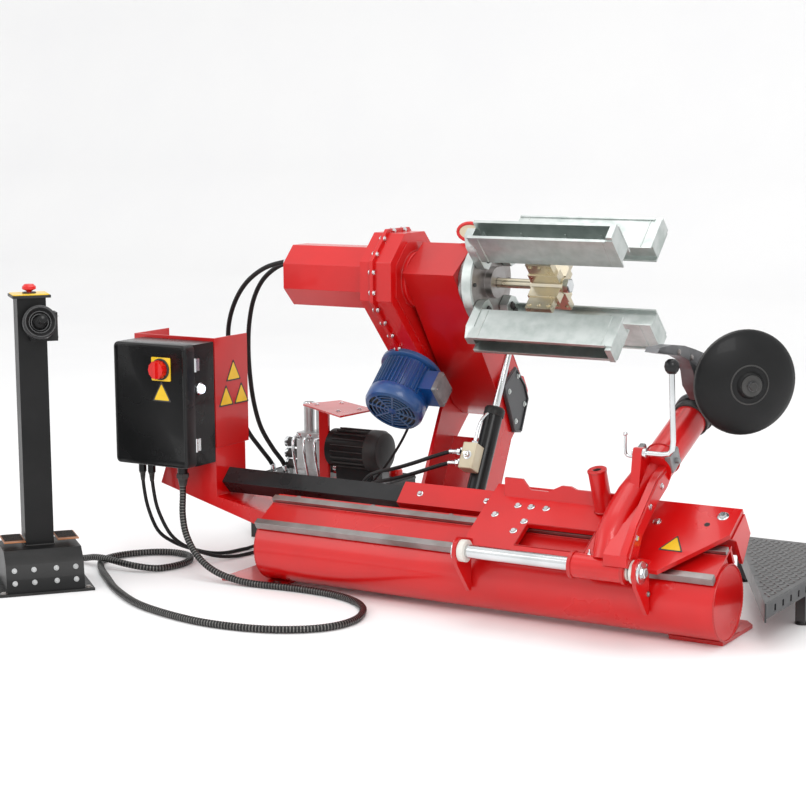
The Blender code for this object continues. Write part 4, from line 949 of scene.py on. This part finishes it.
def jaw_frame(i):
    turn = Matrix.Rotation(math.pi / 4 + i * math.pi / 2, 4, "X")
    return Matrix.Translation(shift(0, *CHUCK)) @ turn @ Matrix(((0, 0, 1, 0), (1, 0, 0, 0), (0, 1, 0, 0),
        (0, 0, 0, 1)))


def chuck_detail():
    rim = []
    for u, v in circle(0.112, 8):
        rim += screw(shift(-0.9598, CHUCK[0] + u, CHUCK[1] + v), RIGHT, 0.007, 0.0045, False)
    add("flange_bolts", rim, SATIN_BLACK, "chuck")
    add("flange_rim", [collar([(0.1275, -0.9985), (0.133, -0.9955), (0.133, -0.9645), (0.1275, -0.9615)],
        across(*CHUCK), 64)], ZINC, "chuck")
    for i, body in enumerate(("jaw_a", "jaw_b", "jaw_c", "jaw_d")):
        place = jaw_frame(i)
        heads, ribs = [], []
        for r in (0.11, 0.135):
            heads += screw(place @ Vector((r, 0, -0.9297)), RIGHT, 0.0085, 0.008)
        add(f"jaw_bolts_{i + 1}", heads, SATIN_BLACK, body)
        for x in (-0.92, -0.79, -0.64, -0.52):
            ribs.append(prism([(0.1555, -0.0262), (0.1555, 0.0262), (0.21, 0.0262), (0.21, 0.0238),
                (0.162, 0.0238), (0.162, -0.0238), (0.21, -0.0238), (0.21, -0.0262)], place, x, x + 0.0045))
        for side in (-0.0325, 0.0325):
            for x in (-0.905, -0.485):
                ribs.append(swept([place @ Vector((0.14, side, x)), place @ Vector((0.245, side, x))], 0.0022,
                    8))
        ribs.append(prism(rectangle(0.246, 0.252, -0.0365, -0.0262), place, -0.938, -0.472))
        ribs.append(prism(rectangle(0.246, 0.252, 0.0262, 0.0365), place, -0.938, -0.472))
        add(f"jaw_ribs_{i + 1}", ribs, ZINC, body, width=0.0005)
        pads = []
        for x in (-0.6, -0.72, -0.84):
            pads += screw(place @ Vector((0.15, 0.0, x)), place.to_3x3() @ Vector((-1, 0, 0)), 0.0065, 0.005)
        add(f"jaw_studs_{i + 1}", pads, CHROME, body)
    yoke = []
    for i in range(4):
        place = jaw_frame(i)
        for x in (-0.788, -0.756, -0.724):
            yoke.append(rod(place @ Vector((0.09, -0.017, x)), place @ Vector((0.09, 0.017, x)), 0.0062, 16))
        yoke.append(prism(rectangle(0.024, 0.06, -0.016, 0.016), place, -0.806, -0.704))
    add("yoke_links", yoke, YELLOW_ZINC, "draw_rod", width=0.0008)
    add("yoke_nut", [turned([(0.0, -0.7005), (0.024, -0.7005), (0.024, -0.685), (0.02, -0.682), (0, -0.682)],
        across(*CHUCK), 6)], CHROME, "draw_rod")


def on_slope(x, s, c):
    return slope_frame() @ Vector((x, s, c))


def carriage_detail():
    up = Vector((0, -BED_RUN[1], BED_RUN[0]))
    bolts = []
    for x, s, size in ((-0.684, 0.198, 0.008), (-0.64, 0.198, 0.008), (-0.59, 0.198, 0.008),
            (-0.635, 0.134, 0.008), (-0.65, 0.09, 0.008), (-0.233, 0.195, 0.009), (-0.05, 0.246, 0.012),
            (-0.74, 0.15, 0.008)):
        bolts += screw(on_slope(x, s, 0.2602), up, size, size * 0.75)
    add("deck_bolts", bolts, CHROME, "carriage")
    # Painted shade: a thin black disc on the deck stands for the dark inside of a hole.
    add("deck_hole_painted_shade", [turned([(0, 0.0), (0.0085, 0.0), (0.008, 0.0006), (0, 0.0006)],
        along(on_slope(-0.084, 0.206, 0.2601), on_slope(-0.084, 0.206, 1)), 24)], SATIN_BLACK, "carriage")
    right = Vector((1, 0, 0))
    ahead = Vector((0, BED_RUN[0], BED_RUN[1]))
    triangle(on_slope(-0.15, 0.105, 0.26) + 0.0002 * up, 0.072, right, ahead, up, "carriage", "deck_sign")
    welds = [seam([on_slope(x, s, 0.2608) for x, s in rectangle(-0.622, -0.398, 0.033, 0.127)], 0.0018),
        bead([shift(-0.744, 0.0665, 0.338), shift(-0.311, 0.0665, 0.338)], 0.003),
        seam(ring_points((0, 0, 0.0), along(shift(-0.4112, 0.0567, 0.336), shift(-0.42, 0.025, 0.458)),
        0.0285, 28), 0.0028)]
    add("carriage_welds", welds, RED, "carriage", 60)
    top = along(shift(-0.4198, 0.0257, 0.4555), shift(-0.4225, 0.0158, 0.494))
    add("post_ring", [collar([(0.0125, -0.002), (0.029, -0.002), (0.029, 0.0035), (0.0265, 0.0055),
        (0.015, 0.0055), (0.0125, 0.0035)], top, 36)], RED, "carriage")
    # Painted shade: a black lining inside the post's bore darkens the recess.
    add("post_bore_painted_shade", [collar(rectangle(0.0095, 0.0122, -0.02, 0.003), top, 28)], SATIN_BLACK, "carriage")
    ends = []
    for x, way in ((-0.7715, -1), (-0.1885, 1)):
        place = facing(shift(x, *SHAFT), (way, 0, 0))
        ends += [turned(chamfered(0, 0.033, 0, 0.0045, 0.03, 0.0065), place, 36),
            turned(chamfered(0, 0.015, 0.006, 0.015, 0.0125, 0.0175), place, 6)]
    add("shaft_ends", ends, CHROME, "carriage")
    nylon = []
    for x, way, width in ((-0.758, RIGHT, 0.02), (-0.202, LEFT, 0.01)):
        place = facing(shift(x, *SHAFT), way)
        nylon.append(collar(chamfered(0.0202, 0.033, 0, width - 0.001, 0.0315, width), place, 36))
    add("shaft_washers", nylon, NYLON, "carriage")
    bolt_row("sleeve_screws", [(-1.05 + i * 0.235, 0.0797, 0.3183) for i in range(5)], (0, -1, 1), 0.007,
        0.007, CHROME, "carriage")
    lugs = []
    for x, way in ((-0.7715, -1), (-0.1885, 1)):
        for y, z in ((-0.122, 0.15), (-0.14, 0.235)):
            lugs += screw(shift(x, y, z), (way, 0, 0), 0.006, 0.005)
    add("lug_bolts", lugs, STEEL, "carriage")


def tool_arm_detail():
    run = (Vector(HEAD_TOP) - Vector(HEAD_LOW)).normalized()
    low = shift(*HEAD_LOW)
    place = facing(low, run)
    plate = [(-0.196, 0.262), (-0.15, 0.32), (-0.06, 0.376), (0.02, 0.424), (0.04, 0.44)]
    add("tool_arm_rim", [swept([shift(-0.212, y, z) for y, z in ((-0.2, 0.262), (-0.15, 0.338),
        (-0.062, 0.412), (-0.012, 0.452), (0.04, 0.47))], 0.004, 8)], RED, "swing_arm", 60)
    add("tool_arm_welds", [bead([shift(-0.286, y, z) for y, z in plate], 0.0026),
        seam(ring_points((0, 0, 0.06), place, 0.0512, 44), 0.0028)], RED, "swing_arm", 60)
    collars = [collar([(0.0355, 0.0), (0.0395, 0.0), (0.0395, 0.01), (0.0355, 0.012)],
        facing(shift(x, *SHAFT), RIGHT), 36) for x in (-0.3995, -0.237)]
    add("arm_collars", collars, RED, "swing_arm")
    grease = screw(shift(-0.345, -0.175, 0.2575), UP, 0.0055, 0.005)
    grease.append(rod(shift(-0.345, -0.175, 0.262), shift(-0.345, -0.175, 0.272), 0.0028, 12))
    add("grease_nipple", grease, CHROME, "swing_arm")
    bolt_row("tool_arm_bolts", [(-0.2122, -0.15, 0.312), (-0.2122, -0.06, 0.384), (-0.2122, 0.015, 0.432)],
        RIGHT, 0.0065, 0.005, CHROME, "swing_arm")
    latch = []
    for side, x in ((-1, -0.305), (1, -0.205)):
        spot = Vector((x + TUBE_END, 0.075, 0.498))
        frame_b = facing(spot, run)
        outline = rounded(-0.01, 0.01, -0.03, 0.026, 0.005)
        latch.append(layered([(inset(outline, 0.0015), -0.03), (outline, -0.028), (outline, 0.028),
            (inset(outline, 0.0015), 0.03)], frame_b))
        latch.append(rod(spot + Vector((side * 0.008, 0, 0)), spot + Vector((side * 0.022, 0, 0)), 0.0085,
            20))
    add("latch_blocks", latch, GREY, "swing_arm", width=0.0008, slot="cast")
    pin = [shift(-0.318, 0.075, 0.498), shift(-0.34, 0.074, 0.498), shift(-0.349, 0.072, 0.503),
        shift(-0.352, 0.071, 0.516), shift(-0.352, 0.07, 0.56)]
    add("latch_pin", [swept(smooth_route(pin, 0.005), 0.0045, 12), ball(shift(-0.352, 0.07, 0.563), 0.0068,
        16)], CHROME, "swing_arm", 60)
    add("tube_collar", [collar([(0.05, 0.268), (0.056, 0.268), (0.057, 0.271), (0.057, 0.292),
        (0.0545, 0.296), (0.05, 0.296)], place, 44)], SATIN_BLACK, "swing_arm")
    add("lever_collar", [collar(chamfered(0.0082, 0.015, 0, 0.008, 0.013, 0.01),
        facing(shift(-0.2615, 0.0, 0.525), RIGHT), 24)], CHROME, "lever")
    add("lever_knob", [turned([(0, -0.02), (0.012, -0.02), (0.019, -0.011), (0.0218, 0.0), (0.019, 0.013),
        (0.011, 0.0205), (0, 0.0222)], Matrix.Translation(shift(-0.179, 0.0, 0.778)), 28)], BLACK, "lever",
        60)


def head_detail():
    run = (Vector(HEAD_TOP) - Vector(HEAD_LOW)).normalized()
    base = shift(*HEAD_LOW) + 0.3005 * run
    place = facing(base, run)
    bolts = []
    for u, v in circle(0.054, 6):
        bolts += screw(place @ Vector((u, v, 0.0215)), run, 0.0055, 0.0045, False)
    add("head_bolts", bolts, CHROME, "head")
    normal = Vector(DISC_NORMAL).normalized()
    disc = shift(*DISC_CENTRE)
    place = facing(disc, normal)
    add("disc_washer", [collar([(0.0142, 0.0125), (0.03, 0.0125), (0.031, 0.014), (0.03, 0.0165),
        (0.0142, 0.0165)], place, 40), collar([(0.053, -0.0022), (0.0545, 0.0006), (0.057, 0.0006),
        (0.059, -0.0034)], place, 56)], SATIN_BLACK, "disc")
    add("disc_rim", [collar([(0.15, -0.0462), (0.1535, -0.045), (0.1535, -0.0405), (0.15, -0.0385)], place,
        64)], SATIN_BLACK, "disc")
    add("disc_nut", [turned(chamfered(0, 0.013, 0.0235, 0.03, 0.0105, 0.0325), place, 6)], SATIN_BLACK,
        "head")
    add("boss_collar", [collar([(0.043, -0.098), (0.048, -0.098), (0.048, -0.082), (0.043, -0.08)], place,
        40)], CAST, "head")
    bolt_row("claw_bolts", [(-0.1842, 0.06, 0.812), (-0.1842, 0.15, 0.786), (-0.1842, 0.265, 0.74),
        (-0.1842, 0.3, 0.69)], RIGHT, 0.0065, 0.005, STEEL, "head")


def pump_detail():
    seam_points = [shift(x, y, 0.2202) for x, y in rectangle(-2.0, -1.5, 0.5, 0.8)]
    lid = rounded(-2.004, -1.496, 0.4985, 0.8035, 0.008)
    add("tank_lid", [prism(lid, flat(), 0.208, 0.214)], SATIN_BLACK, "chassis")
    add("tank_seam", [seam(seam_points, 0.0022)], SATIN_BLACK, "chassis", 60)
    ribs = []
    for i in range(20):
        turn = 2 * math.pi * i / 20
        place = facing(shift(-1.64, 0.535, 0.345), RIGHT) @ Matrix.Rotation(turn, 4, "Z")
        ribs.append(prism(rectangle(0.0648, 0.0715, -0.0012, 0.0012), place, 0.0, 0.13))
    place = facing(shift(-1.51, 0.535, 0.345), RIGHT)
    ribs.append(turned([(0.067, 0.0), (0.072, 0.002), (0.072, 0.038), (0.064, 0.052), (0.04, 0.058),
        (0, 0.06), (0, 0.052), (0.06, 0.046)], place, 40))
    add("pump_motor_shell", ribs, SATIN_BLACK, "chassis")
    valves, caps = [], []
    for z in (0.262, 0.3, 0.34):
        valves.append(rod(shift(-1.88, 0.578, z), shift(-1.69, 0.578, z), 0.0165, 24))
        for x, way in ((-1.88, -1), (-1.69, 1)):
            caps.append(turned(chamfered(0, 0.0185, 0, 0.012, 0.015, 0.016),
                facing(shift(x, 0.578, z), (way, 0, 0)), 24))
    add("valve_coils", valves, SATIN_BLACK, "chassis")
    add("valve_caps", caps, CHROME, "chassis")
    base, crown = rounded(-1.852, -1.718, 0.548, 0.652, 0.006), rounded(-1.846, -1.724, 0.554, 0.646, 0.006)
    add("manifold_base", [layered([(base, 0.2208), (base, 0.248), (crown, 0.252)], flat())], ALLOY, "chassis")
    ports = []
    for x in (-1.812, -1.76):
        place = Matrix.Translation(shift(x, 0.6, 0.47))
        ports.append(collar(chamfered(0.015, 0.0215, 0, 0.01, 0.019, 0.014), place, 24))
    for x in (-1.83, -1.785, -1.74):
        ports += screw(shift(x, 0.5595, 0.365), NEAR, 0.0085, 0.01)
    add("valve_ports", ports, CHROME, "chassis")
    pipes = []
    for x in (-1.83, -1.785, -1.74):
        run = [shift(x, 0.549, 0.365), shift(x, 0.53, 0.365), shift(x + 0.006, 0.513, 0.345),
            shift(x + 0.012, 0.512, 0.295), shift(x + 0.016, 0.52, 0.245), shift(x + 0.016, 0.524, 0.221)]
        pipes.append(swept(smooth_route(run, 0.01), 0.0055, 12))
    add("pump_pipes", pipes, CHROME, "chassis", 60)
    filler = [turned(chamfered(0, 0.024, 0.0, 0.018, 0.02, 0.024), Matrix.Translation(shift(-1.55, 0.75,
        0.22)), 28)]
    add("filler_cap", filler, BUTTON, "chassis")
    gauge = facing(shift(-1.95, 0.499, 0.12), NEAR)
    add("level_glass", [turned(chamfered(0, 0.017, -0.001, 0.006, 0.013, 0.008), gauge, 28)], CHROME,
        "chassis")
    bolt_row("cover_bolts", [(-1.705, 0.49, 0.4962), (-1.65, 0.56, 0.4962), (-1.56, 0.4, 0.4962),
        (-1.52, 0.47, 0.4962)], UP, 0.006, 0.004, CHROME, "chassis")


def footboard_detail():
    bars = []
    deck = [(0.116, -0.015), (0.124, 0.752), (-0.262, 0.752)]

    def inside(x, y):
        sides = zip(deck, deck[1:] + deck[:1])
        area = [(b[0] - a[0]) * (y - a[1]) - (b[1] - a[1]) * (x - a[0]) for a, b in sides]
        return all(a > 0.004 for a in area) or all(a < -0.004 for a in area)

    for i in range(30):
        for j in range(20):
            x, y = -0.27 + j * 0.0205, 0.005 + i * 0.025
            if not inside(x, y):
                continue
            turn = math.radians(45 if (i + j) % 2 else -45)
            place = Matrix.Translation(shift(x, y, 0)) @ Matrix.Rotation(turn, 4, "Z")
            lozenge = [(-0.0095, 0), (-0.0035, -0.0026), (0.0035, -0.0026), (0.0095, 0), (0.0035, 0.0026),
                (-0.0035, 0.0026)]
            top = [(u * 0.8, v * 0.7) for u, v in lozenge]
            bars.append(layered([(lozenge, 0.1406), (top, 0.1428)], place))
    add("checker_bars", bars, TREAD, "chassis", 38)
    pads = [turned([(0, 0.0), (0.02, 0.0), (0.021, 0.003), (0.018, 0.01), (0, 0.01)],
        Matrix.Translation(shift(x, y, 0.0003)), 24) for x, y in ((-0.247, 0.74), (0.1, 0.73), (0.1, 0.325))]
    add("footboard_feet", pads, RUBBER, "chassis")


def stand_detail():
    place = stand_frame()
    cup = place @ Matrix.Translation((0.03, 0.018, 0.842)) @ Matrix.Rotation(math.radians(75), 4, "Y")
    rings = [collar([(r - 0.0016, h), (r + 0.0016, h), (r + 0.0012, h + 0.0026), (r - 0.0012, h + 0.0026)],
        cup, 40) for r, h in ((0.0262, 0.0142), (0.034, 0.0202), (0.047, 0.029))]
    rings.append(collar([(0.05, 0.004), (0.0535, 0.006), (0.0535, 0.026), (0.05, 0.029)], cup, 40))
    add("cup_rings", rings, BLACK, "chassis")
    add("stick_boot", [collar([(0.0072, 0.0125), (0.019, 0.0125), (0.0165, 0.016), (0.018, 0.0185),
        (0.0135, 0.0215), (0.015, 0.024), (0.0098, 0.028), (0.0072, 0.028)], cup, 28)], RUBBER, "stick", 60)
    cap = [rounded(-0.092 + d, 0.012 - d, -0.057 + d, 0.057 - d, 0.008) for d in (0, 0, 0.0012)]
    add("stop_plate", [layered(list(zip(cap, (0.9275, 0.93, 0.9312))), place)], SIGN, "chassis")
    add("stop_collar", [collar([(0.0095, 0.9305), (0.0215, 0.9305), (0.0215, 0.9345), (0.0205, 0.9352),
        (0.0095, 0.9318)], place @ Matrix.Translation((-0.04, 0, 0)), 32)], SATIN_BLACK, "chassis",
        slot="black_plastic")
    screws = []
    for f, r in ((-0.118, -0.132), (0.118, -0.132), (-0.118, 0.132), (0.118, 0.132)):
        screws += screw(place @ Vector((f, r, 0.0082)), UP, 0.0085, 0.006)
    add("stand_bolts", screws, STEEL, "chassis")
    heads = []
    out = (place.to_3x3() @ Vector((0.983, 0, 0.182))).normalized()
    for r in (-0.096, -0.035, 0.035, 0.096):
        for z in (0.036, 0.075):
            f = 0.118 - 0.018 * (z - 0.0079) / 0.0871
            heads += screw(place @ Vector((f + 0.0002, r, z)), out, 0.0058, 0.0045)
    add("hood_screws", heads, ALLOY, "chassis", slot="steel")
    side = []
    for f in (-0.06, -0.02):
        for z in (0.792, 0.858):
            side += screw(place @ Vector((f, 0.0822, z)), place.to_3x3() @ Vector((0, 1, 0)), 0.0036, 0.003,
                False)
    add("side_box_screws", side, CHROME, "chassis")
    add("post_weld", [seam([place @ Vector((f, r, 0.1315)) for f, r in rectangle(-0.0862, 0.0062, -0.0462,
        0.0462)], 0.003)], SATIN_BLACK, "chassis", 60)
    for body, sign in (("pedal_l", -1), ("pedal_r", 1)):
        ribs = [prism(rectangle(-0.062 + k * 0.0145, -0.0575 + k * 0.0145, sign * 0.084 - 0.03,
            sign * 0.084 + 0.03), place, 0.1558, 0.158) for k in range(7)]
        add(f"{body}_ribs", ribs, RUBBER, body, width=0.0004)


def studio():
    shape = bmesh.new()
    profile = [(-9.0, 0.0), (6.0, 0.0), (7.2, 0.25), (8.0, 1.0), (8.4, 2.2), (8.4, 9.0)]
    rows = [[shape.verts.new((x, y, z - FLOOR_GAP)) for x in (-14, 14)] for y, z in profile]
    for one, two in zip(rows, rows[1:]):
        shape.faces.new((one[0], one[1], two[1], two[0]))
    mesh = bpy.data.meshes.new("backdrop")
    shape.to_mesh(mesh)
    shape.free()
    mesh.shade_smooth()
    mesh.materials.append(surface("pale_floor", (0.92, 0.92, 0.92), 0.75, second=(0.905, 0.905, 0.91),
        patch=1.5, grain=60, bump=0.02))
    floor = bpy.data.objects.new("backdrop", mesh)
    bpy.context.scene.collection.objects.link(floor)
    world = bpy.data.worlds.new("studio")
    world.use_nodes = True
    world.node_tree.nodes["Background"].inputs["Color"].default_value = (1, 1, 1, 1)
    world.node_tree.nodes["Background"].inputs["Strength"].default_value = 1.0
    bpy.context.scene.world = world
    bpy.context.scene.view_settings.view_transform = "Standard"
    for name, spot, aim, size, power in (("key", (2.6, -3.6, 4.2), (-0.8, 0.1, 0.4), 2.4, 95),
            ("fill", (-4.2, -3.0, 3.0), (-1.0, 0.0, 0.5), 3.0, 35), ("top", (-0.8, 0.6, 5.0),
            (-0.8, 0.2, 0.4), 3.6, 60)):
        lamp = bpy.data.lights.new(name, "AREA")
        lamp.size = size
        lamp.energy = power
        obj = bpy.data.objects.new(name, lamp)
        obj.location = spot
        obj.rotation_euler = (Vector(aim) - Vector(spot)).to_track_quat("-Z", "Y").to_euler()
        bpy.context.scene.collection.objects.link(obj)


camera()
cords()
dress()
control_cabinet()
bed_detail()
column_detail()
arm_detail()
motor_detail()
lift_detail()
chuck_detail()
carriage_detail()
tool_arm_detail()
head_detail()
pump_detail()
footboard_detail()
stand_detail()
studio()
